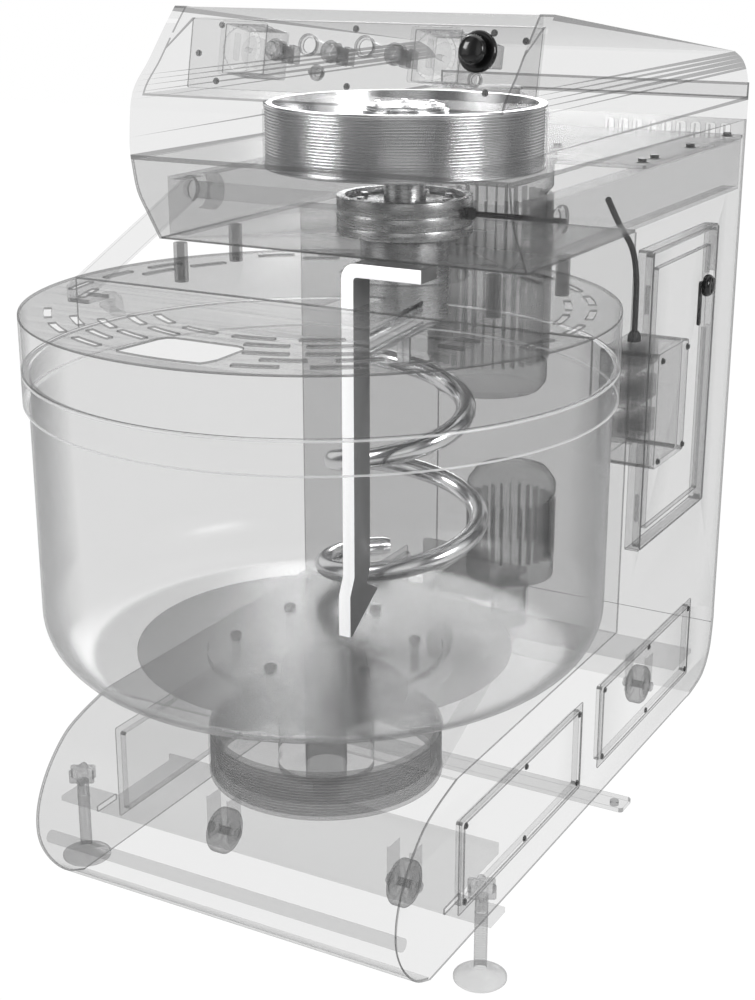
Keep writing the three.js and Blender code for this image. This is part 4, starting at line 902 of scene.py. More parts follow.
mushroom = turned_on_panel(eased([
    (0, -10), (8, -10), (8, 12), (12, 12), (18.4, 15), (19, 19), (16, 24.5), (8, 27.2), (0, 28),
], 1.6), *STOP, 64)
piece("stop_button_mushroom", mushroom, "stop_button", "black_plastic", black_gloss, "emergency_stop")
stop_collar = turned_on_panel(eased([
    (8.6, 0.3), (27, 0.3), (27, 4), (25, 7), (20, 7), (18, 4.5), (8.6, 4.5),
], 0.8, ring=True), *STOP, 64, True)
piece("stop_button_collar", stop_collar, "frame", "black_plastic", black_gloss)
stop_block = plate(rectangle(166, 194, 0, 30, 2), [], 30, FACING_UP, (0, 0, -32), 1.0)
piece("stop_button_contacts", on_panel(stop_block), "frame", "device_clear", dark_device, see=True)

cam_body = lathe(eased([(0, -10), (5, -10), (5, 0.3), (9, 0.3), (9, 5), (0, 5)], 0.6), *SELECTOR, 40)
cam_bar = plate(rectangle(-64, -46, -22.5, -17.5, 2), [], 7.5, FACING_UP, (0, 0, 8.2), 0.8)
piece("mode_selector_knob", on_panel(joined(cam_body, cam_bar)), "selector", "button_metal", dark_device,
      "mode_selector", see=True)
cam_ring = turned_on_panel(eased([(9.3, 0.3), (11, 0.3), (11, 4.4), (9.3, 5)], 0.4, ring=True),
                           *SELECTOR, 40, True)
piece("mode_selector_ring", cam_ring, "frame", "button_metal", dark_device, see=True)

# ---------------------------------------------------------------- spiral drive
# A turned housing and its cover carry the shaft in the head; a grease nipple's pipe runs to the side channel.
# The ribbed pulley is bright steel. Its ribs, and the motors' fins, are rows made by node trees.
polished = metal("polished_steel", 0.78, 0.2, 30.0, (1, 1, 0.3))
turned_finish = metal("turned_steel", 0.72, 0.26, 60.0, (1, 1, 6))
cover_low, cover_high = box_mm("spiral_bearing_cover")
HOUSING_R = cover_high.x
housing_foot = box_mm("spiral_bearing_housing")[0].z
HOUSING_HEIGHT = 14.0


def row_tree(name, wants, takes_points=False):
    """Node tree with a named input for each size; gives the tree and its inputs' identifiers."""
    tree = bpy.data.node_groups.new(name, "GeometryNodeTree")
    face = tree.interface
    if takes_points:
        face.new_socket("Geometry", in_out="INPUT", socket_type="NodeSocketGeometry")
    face.new_socket("Geometry", in_out="OUTPUT", socket_type="NodeSocketGeometry")
    sockets = [face.new_socket(label, in_out="INPUT", socket_type=kind).identifier for label, kind, _ in wants]
    return tree, sockets


def end_tree(tree, place, finish, out):
    """The instances are made real and take their finish."""
    real = tree.nodes.new("GeometryNodeRealizeInstances")
    paint = tree.nodes.new("GeometryNodeSetMaterial")
    paint.inputs["Material"].default_value = finish
    tree.links.new(place.outputs[0], real.inputs[0])
    tree.links.new(real.outputs[0], paint.inputs["Geometry"])
    tree.links.new(paint.outputs[0], out.inputs[0])


def row_mesh(tree, sockets, wants, spots=()):
    """Plain mesh of what a node tree makes with its sizes, at some spots where it takes them."""
    base = bpy.data.meshes.new(tree.name)
    base.from_pydata(list(spots), [], [])
    holder = bpy.data.objects.new(tree.name, base)
    scene.collection.objects.link(holder)
    step = holder.modifiers.new(tree.name, "NODES")
    step.node_group = tree
    for identifier, (_, _, value) in zip(sockets, wants):
        step[identifier] = value
    return made_mesh(holder)


WASHER_DEPTH = 1.2


def screws(points, size=7.0, height=5.0, facing=FACING_UP, finish=polished):
    """Hexagon screws with washers at a run of points, placed by a node tree and turned to face a way."""
    wants = (("Size", "NodeSocketFloat", size), ("Height", "NodeSocketFloat", height))
    tree, sockets = row_tree("screws", wants, takes_points=True)
    new, link = tree.nodes.new, tree.links.new
    given, out = new("NodeGroupInput"), new("NodeGroupOutput")
    head = new("GeometryNodeMeshCylinder")
    head.inputs["Vertices"].default_value = 6
    washer = new("GeometryNodeMeshCylinder")
    washer.inputs["Vertices"].default_value = 24
    washer.inputs["Depth"].default_value = WASHER_DEPTH
    wide = new("ShaderNodeMath")
    wide.operation = "MULTIPLY"
    wide.inputs[1].default_value = 1.35
    shift = new("GeometryNodeTransform")
    shift.inputs["Translation"].default_value = (0, 0, WASHER_DEPTH / 2)
    half = new("ShaderNodeMath")
    half.operation = "MULTIPLY_ADD"
    half.inputs[1].default_value = 0.5
    half.inputs[2].default_value = WASHER_DEPTH
    up = new("ShaderNodeCombineXYZ")
    raise_head = new("GeometryNodeTransform")
    both = new("GeometryNodeJoinGeometry")
    place = new("GeometryNodeInstanceOnPoints")
    link(given.outputs["Size"], head.inputs["Radius"])
    link(given.outputs["Height"], head.inputs["Depth"])
    link(given.outputs["Size"], wide.inputs[0])
    link(wide.outputs[0], washer.inputs["Radius"])
    link(washer.outputs["Mesh"], shift.inputs["Geometry"])
    link(given.outputs["Height"], half.inputs[0])
    link(half.outputs[0], up.inputs["Z"])
    link(head.outputs["Mesh"], raise_head.inputs["Geometry"])
    link(up.outputs[0], raise_head.inputs["Translation"])
    link(shift.outputs[0], both.inputs[0])
    link(raise_head.outputs[0], both.inputs[0])
    link(given.outputs["Geometry"], place.inputs["Points"])
    link(both.outputs[0], place.inputs["Instance"])
    end_tree(tree, place, finish, out)
    mesh = row_mesh(tree, sockets, wants, [(u, v, 0) for u, v in points])
    mesh.transform(facing)
    return mesh


BORE_R = 30.4
housing_top = housing_foot + HOUSING_HEIGHT
housing = lathe(eased([
    (BORE_R, housing_foot), (HOUSING_R, housing_foot), (HOUSING_R, housing_top), (BORE_R, housing_top),
], 1.5, ring=True), 0, SPIRAL_Y, 112, ring=True)
piece("spiral_bearing_flange", housing, "frame", "turned_steel", turned_finish, "spiral_bearing_housing")
base_z = cover_low.z
cover = lathe(eased([
    (BORE_R, base_z), (HOUSING_R, base_z), (HOUSING_R, base_z + 17), (HOUSING_R - 1.2, base_z + 18),
    (HOUSING_R - 1.2, base_z + 20), (HOUSING_R, base_z + 21), (HOUSING_R, base_z + 40),
    (HOUSING_R - 12, base_z + 40), (HOUSING_R - 12, base_z + 32), (BORE_R, base_z + 32),
], 1.0, ring=True), 0, SPIRAL_Y, 128, ring=True)
piece("spiral_bearing_cap", cover, "frame", "turned_steel", turned_finish, "spiral_bearing_cover")
cover_bolts = screws(ring_of(0, SPIRAL_Y, 66, 8), 6, 5, Matrix.Translation((0, 0, base_z + 32.1)))
piece("spiral_bearing_bolts", cover_bolts, "frame", "turned_steel", polished)

pipe_low, pipe_high = box_mm("grease_pipe")
pipe_z = (pipe_low.z + pipe_high.z) / 2
nipple = aimed(lathe(eased([(0, 0), (9, 0), (9, 10), (6, 15), (4, 15), (4, 18), (0, 18)], 1.0), steps=40),
               (1, 0, 0), (pipe_low.x, SPIRAL_Y, pipe_z))
length = pipe_high.x - pipe_low.x - 14
pipe = aimed(lathe(eased([(0, 0), (4, 0), (4, length), (0, length)], 1.0), steps=32), (1, 0, 0),
             (pipe_low.x + 14, SPIRAL_Y, pipe_z))
piece("grease_nipple_pipe", joined(nipple, pipe), "frame", "black_plastic", black_gloss, "grease_pipe")


def ribs(count, radius, width, pitch, x, y, z):
    """Row of belt ribs round a pulley, made by a node tree."""
    wants = (("Count", "NodeSocketInt", count), ("Radius", "NodeSocketFloat", radius),
             ("Width", "NodeSocketFloat", width), ("Pitch", "NodeSocketFloat", pitch))
    tree, sockets = row_tree("ribs", wants)
    new, link = tree.nodes.new, tree.links.new
    given, out = new("NodeGroupInput"), new("NodeGroupOutput")
    ring = new("GeometryNodeCurvePrimitiveCircle")
    ring.inputs["Resolution"].default_value = 128
    section = new("GeometryNodeCurvePrimitiveCircle")
    section.inputs["Resolution"].default_value = 6
    sweep = new("GeometryNodeCurveToMesh")
    step_vector = new("ShaderNodeCombineXYZ")
    row = new("GeometryNodeMeshLine")
    place = new("GeometryNodeInstanceOnPoints")
    link(given.outputs["Radius"], ring.inputs["Radius"])
    link(given.outputs["Width"], section.inputs["Radius"])
    link(ring.outputs[0], sweep.inputs["Curve"])
    link(section.outputs[0], sweep.inputs["Profile Curve"])
    link(given.outputs["Pitch"], step_vector.inputs["Z"])
    link(given.outputs["Count"], row.inputs["Count"])
    link(step_vector.outputs[0], row.inputs["Offset"])
    link(row.outputs[0], place.inputs["Points"])
    link(sweep.outputs[0], place.inputs["Instance"])
    end_tree(tree, place, polished, out)
    mesh = row_mesh(tree, sockets, wants)
    mesh.transform(Matrix.Translation((x, y, z)))
    return mesh


PULLEY_R = spiral_high.x
PULLEY_Z = spiral_low.z + 3
PULLEY_TOP = PULLEY_Z + 89
inner_r = PULLEY_R - 12
pulley = lathe(eased([
    (BORE_R, PULLEY_Z - 3), (62, PULLEY_Z - 3), (62, PULLEY_Z + 30), (inner_r, PULLEY_Z + 30),
    (inner_r, PULLEY_Z), (PULLEY_R, PULLEY_Z), (PULLEY_R, PULLEY_Z + 4), (PULLEY_R - 4, PULLEY_Z + 5),
    (PULLEY_R - 4, PULLEY_TOP - 5),
    (PULLEY_R, PULLEY_TOP - 4), (PULLEY_R, PULLEY_TOP), (inner_r, PULLEY_TOP), (inner_r, PULLEY_Z + 40),
    (62, PULLEY_Z + 40), (62, PULLEY_TOP - 10), (BORE_R, PULLEY_TOP - 10),
], 1.0, ring=True), 0, SPIRAL_Y, 128, ring=True)
piece("spiral_pulley_body", pulley, "spiral", "polished_steel", polished, "spiral_pulley")
big_ribs = ribs(20, PULLEY_R - 3.0, 1.5, 4.1, 0, SPIRAL_Y, PULLEY_Z + 5.6)
piece("spiral_pulley_ribs", big_ribs, "spiral", "polished_steel", polished, angle=80)
hub_cap = lathe(eased([
    (31, PULLEY_TOP - 9.8), (56, PULLEY_TOP - 9.8), (56, PULLEY_TOP - 4), (31, PULLEY_TOP - 4),
], 1.0, ring=True), 0, SPIRAL_Y, 64, ring=True)
piece("spiral_pulley_clamp", hub_cap, "spiral", "turned_steel", turned_finish)
clamp_bolts = screws(ring_of(0, SPIRAL_Y, 45, 6), 5, 2.5, Matrix.Translation((0, 0, PULLEY_TOP - 4)))
piece("spiral_pulley_bolts", clamp_bolts, "spiral", "turned_steel", polished)

clear_belt = see_through("clear_belt", 0.97, 0.35, 0.05, 0.30)
keep_node("spiral_belt", clear_belt, see=True)
clear_motor = see_through("clear_motor", 0.84, 0.15, 0.10, 0.85, roughness=0.4, start=0.35)
small_foot = box_mm("spiral_motor_pulley")[0].z
small = lathe(eased([
    (0, small_foot), (19, small_foot), (19, PULLEY_Z), (45, PULLEY_Z), (45, PULLEY_Z + 4), (41, PULLEY_Z + 4),
    (41, PULLEY_TOP - 4), (45, PULLEY_TOP - 4), (45, PULLEY_TOP), (0, PULLEY_TOP),
], 0.8), 0, MOTOR_Y, 72)
piece("spiral_motor_sheave", small, "spiral_drive_pulley", "turned_steel", clear_motor, "spiral_motor_pulley",
      see=True)


def motor_fins(count, radius, depth, z0, z1, x, y):
    """Cooling fins standing round a motor, placed by a node tree."""
    wants = (("Count", "NodeSocketInt", count), ("Radius", "NodeSocketFloat", radius),
             ("Depth", "NodeSocketFloat", depth), ("Height", "NodeSocketFloat", z1 - z0))
    tree, sockets = row_tree("fins", wants)
    new, link = tree.nodes.new, tree.links.new
    given, out = new("NodeGroupInput"), new("NodeGroupOutput")
    circle = new("GeometryNodeMeshCircle")
    size = new("ShaderNodeCombineXYZ")
    size.inputs["Y"].default_value = 2.2
    fin = new("GeometryNodeMeshCube")
    normal = new("GeometryNodeInputPosition")
    turn = new("FunctionNodeAlignRotationToVector")
    turn.axis = "X"
    turn.pivot_axis = "Z"
    place = new("GeometryNodeInstanceOnPoints")
    link(given.outputs["Count"], circle.inputs["Vertices"])
    link(given.outputs["Radius"], circle.inputs["Radius"])
    link(given.outputs["Depth"], size.inputs["X"])
    link(given.outputs["Height"], size.inputs["Z"])
    link(size.outputs[0], fin.inputs["Size"])
    link(normal.outputs[0], turn.inputs["Vector"])
    link(circle.outputs["Mesh"], place.inputs["Points"])
    link(fin.outputs["Mesh"], place.inputs["Instance"])
    link(turn.outputs[0], place.inputs["Rotation"])
    end_tree(tree, place, clear_motor, out)
    mesh = row_mesh(tree, sockets, wants)
    mesh.transform(Matrix.Translation((x, y, (z0 + z1) / 2)))
    return mesh


low_z, high_z = motor_low.z, motor_high.z
motor = lathe(eased([
    (0, low_z), (86, low_z), (96, low_z + 14), (96, low_z + 44), (88, low_z + 50), (88, high_z - 60),
    (98, high_z - 50), (98, high_z - 12), (103, high_z - 12), (103, high_z), (0, high_z),
], 3), 0, MOTOR_Y, 72)
piece("spiral_motor_body", motor, "frame", "motor_casting", clear_motor, "spiral_motor", see=True)
big_fins = motor_fins(36, 92.5, 13, low_z + 52, high_z - 62, 0, MOTOR_Y)
piece("spiral_motor_fins", big_fins, "frame", "motor_casting", clear_motor, see=True)

# ---------------------------------------------------------------- spiral: shaft, boss, hook
# The hook is one coiled bar under a slanted arm, welded into the boss and held by a bolt through both.
# It is polished; the boss is cut away over the arm, so the arm's tube shows in the notch.
BOSS_R = 64
shaft_low, shaft_high = box_mm("spiral_shaft")
BAR_R = 15.0
COIL_STEPS = 240
boss_foot = shaft_low.z
boss = lathe(eased([
    (0, boss_foot), (BOSS_R, boss_foot), (BOSS_R, HEAD_Z - 3), (30, HEAD_Z - 3), (30, shaft_high.z),
    (0, shaft_high.z),
], 1.6), 0, SPIRAL_Y, 112)
arm_start = Vector((-80, SPIRAL_Y, HEAD_Z - 183))
arm_end = Vector((45, SPIRAL_Y, boss_foot + 8))
slope = (arm_end.z - arm_start.z) / (arm_end.x - arm_start.x)
ARM_R = 19


def arm_top(x):
    """Height of the slanted arm's upper side, with a small gap, over x."""
    return arm_start.z + (x - arm_start.x) * slope + ARM_R * math.hypot(1, slope) + 0.3


notch_outline = [(-120, boss_foot - 100), (51, boss_foot - 100), (51, arm_top(51)), (-120, arm_top(-120))]
notch = plate(notch_outline, [], 220, FACING_Y, (0, SPIRAL_Y, 0))
boss = boolean(boss, notch, "DIFFERENCE")
piece("spiral_shaft_boss", boss, "spiral", "polished_steel", turned_finish, "spiral_shaft")

coil_foot = box_mm("spiral_hook")[0].z + 14.3
TURNS = 2.14
pitch = (arm_start.z - coil_foot) / (TURNS - 0.2)
coil = []
for k in range(COIL_STEPS + 1):
    t = k / COIL_STEPS
    turn = t * TURNS
    over = max(turn - (TURNS - 0.4), 0)
    r = 80 + 46 * (1.45 * t - 0.45 * t * t) - 20 * (over / 0.4) ** 2
    a = math.pi - turn * 2 * math.pi
    z = arm_start.z - pitch * turn + pitch * over * over / 0.8
    coil.append((r * math.cos(a), SPIRAL_Y + r * math.sin(a), z))
TIP_START = COIL_STEPS - 3
radii = [BAR_R - max(k - TIP_START, 0) ** 2 * 0.4 for k in range(COIL_STEPS + 1)]
bar = rod(coil, radii, 32)
arm_line = [tuple(arm_start.lerp(arm_end, k / 20)) for k in range(21)]
arm = rod(arm_line, [ARM_R] * 21, 40)
elbow_angles = [math.radians(a) for a in range(-90, 91, 9)]
elbow = lathe([(ARM_R * math.cos(a), ARM_R * math.sin(a)) for a in elbow_angles], steps=40)
elbow.transform(Matrix.Translation(arm_start))
bolt_mid = arm_start.z + 80 * slope
bolt_low = bolt_mid - ARM_R * math.hypot(1, slope) - 36
bolt = lathe(eased([
    (0, bolt_low), (8, bolt_low), (10, bolt_low + 2), (10, bolt_low + 30), (10, bolt_mid), (0, bolt_mid),
], 0.8), 0, SPIRAL_Y, 40)
hook_finish = metal("hook_steel", 0.90, 0.17, 30.0, (1, 1, 0.3))
piece("spiral_hook_bar", joined(bar, arm, elbow, bolt), "spiral", "polished_steel", hook_finish, "spiral_hook")

# ---------------------------------------------------------------- breaker bar
# Flat bar down the middle of the bowl, kinked near its foot and ending in a plough edge. An elbow ties it on.
# Its front edge is painted bright and glows a little, a painted highlight; its sides are a darker copy of the
# same steel, painted shade.
bar_low, bar_high = box_mm("breaker_bar")
BAR_T = 19
BAR_LEFT = 30
BAR_BEND = 22
bar_foot = bar_low.z


def arc_points(cx, cz, radius, start, end, steps):
    """Points along an arc, from one angle in degrees to another."""
    return [(cx + radius * math.cos(math.radians(start + (end - start) * k / steps)),
             cz + radius * math.sin(math.radians(start + (end - start) * k / steps))) for k in range(steps + 1)]


front_shape = [
    *arc_points(BAR_LEFT + BAR_BEND, bar_high.z - BAR_BEND, BAR_BEND, 180, 90, 8),
    (bar_high.x, bar_high.z), (bar_high.x, bar_high.z - BAR_T),
    *arc_points(BAR_LEFT + BAR_T + 5, bar_high.z - BAR_T - 5, 5, 90, 180, 5),
    (BAR_LEFT + BAR_T, bar_foot + 92), (23 + BAR_T, bar_foot + 61), (23 + BAR_T, bar_foot),
    (23, bar_foot), (23, bar_foot + 61), (BAR_LEFT, bar_foot + 92),
]
face_y = bar_low.y
side_shape = [(face_y, bar_high.z + 5), (face_y, bar_foot), (face_y + 6, bar_foot), (bar_high.y, bar_foot + 49),
              (face_y + 45, bar_foot + 69), (face_y + 45, bar_high.z + 5)]
front_bar = plate(front_shape, [], 110, FACING_Y, (0, face_y + 40, 0))
side_bar = plate(side_shape, [], 200, FACING_X, (90, 0, 0))
breaker = boolean(front_bar, side_bar, "INTERSECT")
holder = bpy.data.objects.new("breaker", breaker)
scene.collection.objects.link(holder)
edge = holder.modifiers.new("edge", "BEVEL")
edge.width = 1.2
edge.segments = 2
edge.limit_method = "ANGLE"
edge.angle_limit = math.radians(25)
breaker = made_mesh(holder)
# Two copies of one steel: dark sides as painted shade, a bright front edge as painted highlight.
shaded_bar_steel = metal("bar_side_painted_shade", 0.22, 0.34, 45.0, (1, 1, 0.15), metallic=0.6)
glowing_bar_edge = metal("glowing_bar_edge", 0.95, 0.45, 45.0, (1, 1, 0.15), metallic=0.2)
highlight_shader = glowing_bar_edge.node_tree.nodes["Principled BSDF"]
# The front edge glows though it is no lamp: painted highlight.
highlight_shader.inputs["Emission Color"].default_value = (1, 1, 1, 1)
highlight_shader.inputs["Emission Strength"].default_value = 0.35
piece("breaker_bar_forging", breaker, "frame", "polished_steel", shaded_bar_steel, "breaker_bar")
breaker.materials.append(glowing_bar_edge)
# Faces looking to the front take the painted highlight.
for part in breaker.polygons:
    if part.normal.y < -0.5:
        part.material_index = 1

# ---------------------------------------------------------------- bowl, its hub and drive
# The bowl is spun sheet with a deep corner radius and a rim band that stands proud of the wall.
# It sits on a studded hub disc; the shaft turns in a cast housing and carries the driven pulley under the deck.
bowl_low, bowl_high = box_mm("bowl")
BOWL_Y = (bowl_low.y + bowl_high.y) / 2
RIM_R = bowl_high.x
WALL_R = RIM_R - 8
RIM_Z, FOOT_Z = bowl_high.z, bowl_low.z
corner_out = arc_points(WALL_R - 80, FOOT_Z + 80, 80, -90, 0, 20)
corner_in = arc_points(WALL_R - 80, FOOT_Z + 80, 77, 0, -90, 20)
bowl_shape = [
    (0, FOOT_Z), *corner_out, (WALL_R, RIM_Z - 46), (WALL_R + 4, RIM_Z - 44.5), (RIM_R, RIM_Z - 41),
    (RIM_R, RIM_Z - 3), (RIM_R - 1.5, RIM_Z), (WALL_R - 1.5, RIM_Z), (WALL_R - 3, RIM_Z - 1.5), *corner_in,
    (0, FOOT_Z + 3),
]
clear_bowl = see_through("clear_bowl", 0.93, 0.50, 0.03, 0.9, roughness=0.22, metallic=0.9, start=0.4)
piece("bowl_shell", lathe(bowl_shape, 0, BOWL_Y, 192), "bowl_group", "bowl_steel", clear_bowl, "bowl", see=True)

# Thin rings along the rim band's edges in a near-white copy of the bowl's steel: painted highlight lines.
rim_painted_highlight = see_through("rim_painted_highlight", 0.95, 0.85, 0.35, 0.6, roughness=0.3)
BEAD_R = 1.5
beads = []
for drop in (43, 1.6):
    bead = ring_of(RIM_R - 1.6, RIM_Z - drop, BEAD_R, 8)
    beads.append(lathe(bead, 0, BOWL_Y, 160, ring=True))
piece("bowl_rim_beads", joined(*beads), "bowl_group", "bowl_steel", rim_painted_highlight, see=True)

hub_foot = box_mm("bowl_hub")[0].z
clear_casting = see_through("clear_casting", 0.82, 0.24, 0.12, 0.8, roughness=0.4, start=0.4)
hub = lathe(eased([
    (0, hub_foot), (20, hub_foot), (20, hub_foot + 25), (30, hub_foot + 25), (30, FOOT_Z - 19),
    (168, FOOT_Z - 19),
    (168, FOOT_Z - 6), (266, FOOT_Z - 5), (266, FOOT_Z - 0.3), (0, FOOT_Z - 0.3),
], 0.8), 0, BOWL_Y, 112)
piece("bowl_hub_disc", hub, "bowl_group", "turned_steel", clear_casting, "bowl_hub", see=True)
STUD_CIRCLE = 128.0
studs = []
for k in range(6):
    a = math.radians(25 + 60 * k)
    stud = lathe(eased([(0, -46), (6, -46), (6, 3.2), (9, 3.2), (9, 7), (5, 9.5), (0, 10)], 1.0),
                 STUD_CIRCLE * math.cos(a), BOWL_Y + STUD_CIRCLE * math.sin(a), 24)
    stud.transform(Matrix.Translation((0, 0, FOOT_Z)))
    studs.append(stud)
piece("bowl_floor_studs", joined(*studs), "bowl_group", "turned_steel", clear_casting, see=True)

house_low, house_high = box_mm("bowl_bearing_housing")
casting = lathe(eased([
    (BORE_R, house_low.z), (60, house_low.z), (60, BASE_TOP + 0.3), (120, BASE_TOP + 0.3), (120, BASE_TOP + 10),
    (68, BASE_TOP + 10), (60, house_high.z), (BORE_R, house_high.z)], 2.0, ring=True), 0, BOWL_Y, 96, ring=True)
piece("bowl_bearing_casting", casting, "frame", "cast_iron_grey", clear_casting, "bowl_bearing_housing",
      see=True)
flange_bolts = screws(ring_of(0, BOWL_Y, 95, 6), 8, 6, Matrix.Translation((0, 0, BASE_TOP + 10)))
piece("bowl_bearing_bolts", flange_bolts, "frame", "cast_iron_grey", clear_steel, see=True)
pulley_low, pulley_high = box_mm("bowl_pulley")
pz, ptop, pr = pulley_low.z, pulley_high.z - 5, pulley_high.x
driven = lathe(eased([
    (BORE_R, pz), (70, pz), (70, pz + 12), (pr - 10, pz + 12), (pr - 10, pz), (pr, pz), (pr, pz + 4),
    (pr - 4, pz + 5), (pr - 4, ptop - 5), (pr, ptop - 4), (pr, ptop), (pr - 10, ptop), (pr - 10, pz + 20),
    (70, pz + 20), (70, ptop + 5), (BORE_R, ptop + 5)], 1.0, ring=True), 0, BOWL_Y, 112, ring=True)
piece("bowl_pulley_body", driven, "bowl_group", "cast_iron_grey", clear_casting, "bowl_pulley", see=True)
ring_pack = ribs(14, pr - 3.2, 1.7, 4.3, 0, BOWL_Y, pz + 7)
ring_pack.materials.clear()
piece("bowl_pulley_ribs", ring_pack, "bowl_group", "cast_iron_grey", clear_casting, angle=80, see=True)
keep_node("bowl_belt", clear_belt, see=True)
sheave_low, sheave_high = box_mm("bowl_motor_pulley")
BM_Y = (sheave_low.y + sheave_high.y) / 2
sheave = lathe(eased([
    (0, pz), (34, pz), (34, pz + 4), (30, pz + 4), (30, ptop - 4), (34, ptop - 4), (34, ptop), (19, ptop),
    (19, sheave_high.z), (0, sheave_high.z),
], 0.8), 0, BM_Y, 64)
piece("bowl_motor_sheave", sheave, "bowl_drive_pulley", "turned_steel", clear_motor, "bowl_motor_pulley",
      see=True)
bm_low = box_mm("bowl_motor")[0]
bz = bm_low.z
bowl_motor = lathe(eased([
    (0, bz), (76, bz), (76, bz + 30), (66, bz + 36), (66, bz + 140), (76, bz + 148), (76, bz + 170),
    (60, bz + 192), (20, bz + 203), (0, bz + 204),
], 4), 0, BM_Y, 64)
shelf = plate(rectangle(-60, 60, bm_low.y, BM_Y - 55, 6), [], 8, FACING_UP, (0, 0, bz + 34), 0.8)
wall = plate(rectangle(-60, 60, bz + 30, bz + 120, 6), [], 4.6, FACING_Y, (0, bm_low.y + 2.4, 0), 0.6)
bowl_motor = joined(bowl_motor, shelf, wall)
piece("bowl_motor_body", bowl_motor, "frame", "motor_casting", clear_motor, "bowl_motor", see=True)
small_fins = motor_fins(28, 70.5, 13, bz + 38, bz + 140, 0, BM_Y)
piece("bowl_motor_fins", small_fins, "frame", "motor_casting", clear_motor, see=True)

# ---------------------------------------------------------------- guard: fixed rear part and swinging lid
# A low drum of clear sheet covers the bowl. The front half is the lid, with rows of slots, a feed window and a
# handle; the rear half hangs from the pan on four posts. The lid's yoke pivots in the head's sides.
lid_low, lid_high = box_mm("guard_lid")
GUARD_FOOT, GUARD_TOP = lid_low.z, lid_high.z
CHORD = HEAD_FRONT + 7
YOKE_FOOT_Y = CHORD - 126
POSTS = ((INNER - 40, CHORD + 43), (INNER - 18, SPIRAL_Y - 41))
clear_guard = see_through("clear_guard", 0.935, 0.34, 0.03, 0.6, roughness=0.3)
clear_top = see_through("clear_top", 0.86, 0.34, 0.04, 0.6, roughness=0.3)


def guard_outline(front, radius, steps=96):
    """Circle of the guard, cut by the parting line; the front or the rear part of it."""
    cut_y = CHORD - 1 if front else CHORD
    points = []
    for k in range(steps + 1):
        half = math.acos(max(-1, min(1, (cut_y - BOWL_Y) / radius)))
        if front:
            a = math.pi / 2 + half + (2 * math.pi - 2 * half) * k / steps
        else:
            a = math.pi / 2 - half + 2 * half * k / steps
        points.append((radius * math.cos(a), BOWL_Y + radius * math.sin(a)))
    return points


def curved_slot(radius, middle, sweep, width):
    """Slot along a circle round the bowl's axis, with round ends."""
    points = []
    steps = 6
    for k in range(steps + 1):
        a = middle - sweep / 2 + sweep * k / steps
        points.append(((radius + width / 2) * math.cos(a), BOWL_Y + (radius + width / 2) * math.sin(a)))
    for k in range(steps + 1):
        a = middle + sweep / 2 - sweep * k / steps
        points.append(((radius - width / 2) * math.cos(a), BOWL_Y + (radius - width / 2) * math.sin(a)))
    return points


MIDDLE = math.radians(-91.3)
window = [(365 * math.cos(math.radians(a)), BOWL_Y + 365 * math.sin(math.radians(a)))
          for a in (-100.8, -98, -95, -92, -89, -86, -83.5, -81.6)]
window += [(58, BOWL_Y - 352), (62, BOWL_Y - 340), (61, BOWL_Y - 284), (56, BOWL_Y - 273), (44, BOWL_Y - 268),
           (-48, BOWL_Y - 268), (-57, BOWL_Y - 272), (-62, BOWL_Y - 282), (-70, BOWL_Y - 346),
           (-71.5, BOWL_Y - 355)]
handle_box = box_mm("lid_handle")
HANDLE_X, HANDLE_Y = (handle_box[0].x + handle_box[1].x) / 2, (handle_box[0].y + handle_box[1].y) / 2
SLOT_ROWS = ((361, 20.0, 14.6), (329, 24.5, 15.4), (298, 19.5, 14.5), (258, 17.5, 17.0), (224, 10.5, 22.0))


def slot_row(radius, first, spacing, count):
    """Slots of one row, counted both ways from the window's middle."""
    steps = [math.radians(first + spacing * k) for k in range(count)]
    return [(radius, MIDDLE + side * step) for step in steps for side in (-1, 1)]


slots = []
for row, (radius, first, spacing) in enumerate(SLOT_ROWS):
    for r, a in slot_row(radius, first, spacing, 6 if row < 2 else 2):
        x, y = r * math.cos(a), BOWL_Y + r * math.sin(a)
        off_handle = math.hypot(x - HANDLE_X, y - HANDLE_Y) > 58
        off_yoke = math.hypot(abs(x) - HALF + 6, y - YOKE_FOOT_Y) > 50
        if y < CHORD - 22 and off_handle and off_yoke:
            slots.append(curved_slot(r, a, 56 / r, 10))
lid_top = plate(guard_outline(True, RIM_R - 0.2), [window, *slots], 3, FACING_UP, (0, 0, GUARD_TOP - 1.5), 0.4)


def arc_wall(front):
    """Upright sheet round one part of the guard."""
    outer = guard_outline(front, RIM_R - 0.1)
    inner = guard_outline(front, RIM_R - 3)
    return plate([*outer, *reversed(inner)], [], GUARD_TOP - 3.2 - GUARD_FOOT, FACING_UP,
                 (0, 0, (GUARD_TOP - 3.2 + GUARD_FOOT) / 2))


sheet_piece("guard_lid_wall", arc_wall(True), "lid", "guard_clear", clear_guard, "guard_lid")
sheet_piece("guard_lid_top", lid_top, "lid", "guard_clear", clear_top, "guard_lid")
tool_hole = ring_of(0, SPIRAL_Y, BOSS_R + 30, 64)
rear_slots = []
for radius, first, spacing in SLOT_ROWS[:2]:
    for r, a in slot_row(radius, first, spacing, 12):
        x, y = r * math.cos(a), BOWL_Y + r * math.sin(a)
        to_post = min(math.hypot(abs(x) - px, y - py) for px, py in POSTS)
        if y > CHORD + 22 and to_post > 44 and math.hypot(x, y - SPIRAL_Y) > 140:
            rear_slots.append(curved_slot(r, a, 56 / r, 10))
rear_outline = guard_outline(False, RIM_R - 0.2)
bar_slot_open = [(10, CHORD - 5), (62, CHORD - 5), (62, face_y + 65), (10, face_y + 65)]
rear_top = plate(rear_outline, [tool_hole, *rear_slots], 3, FACING_UP, (0, 0, GUARD_TOP - 1.5), 0.0)
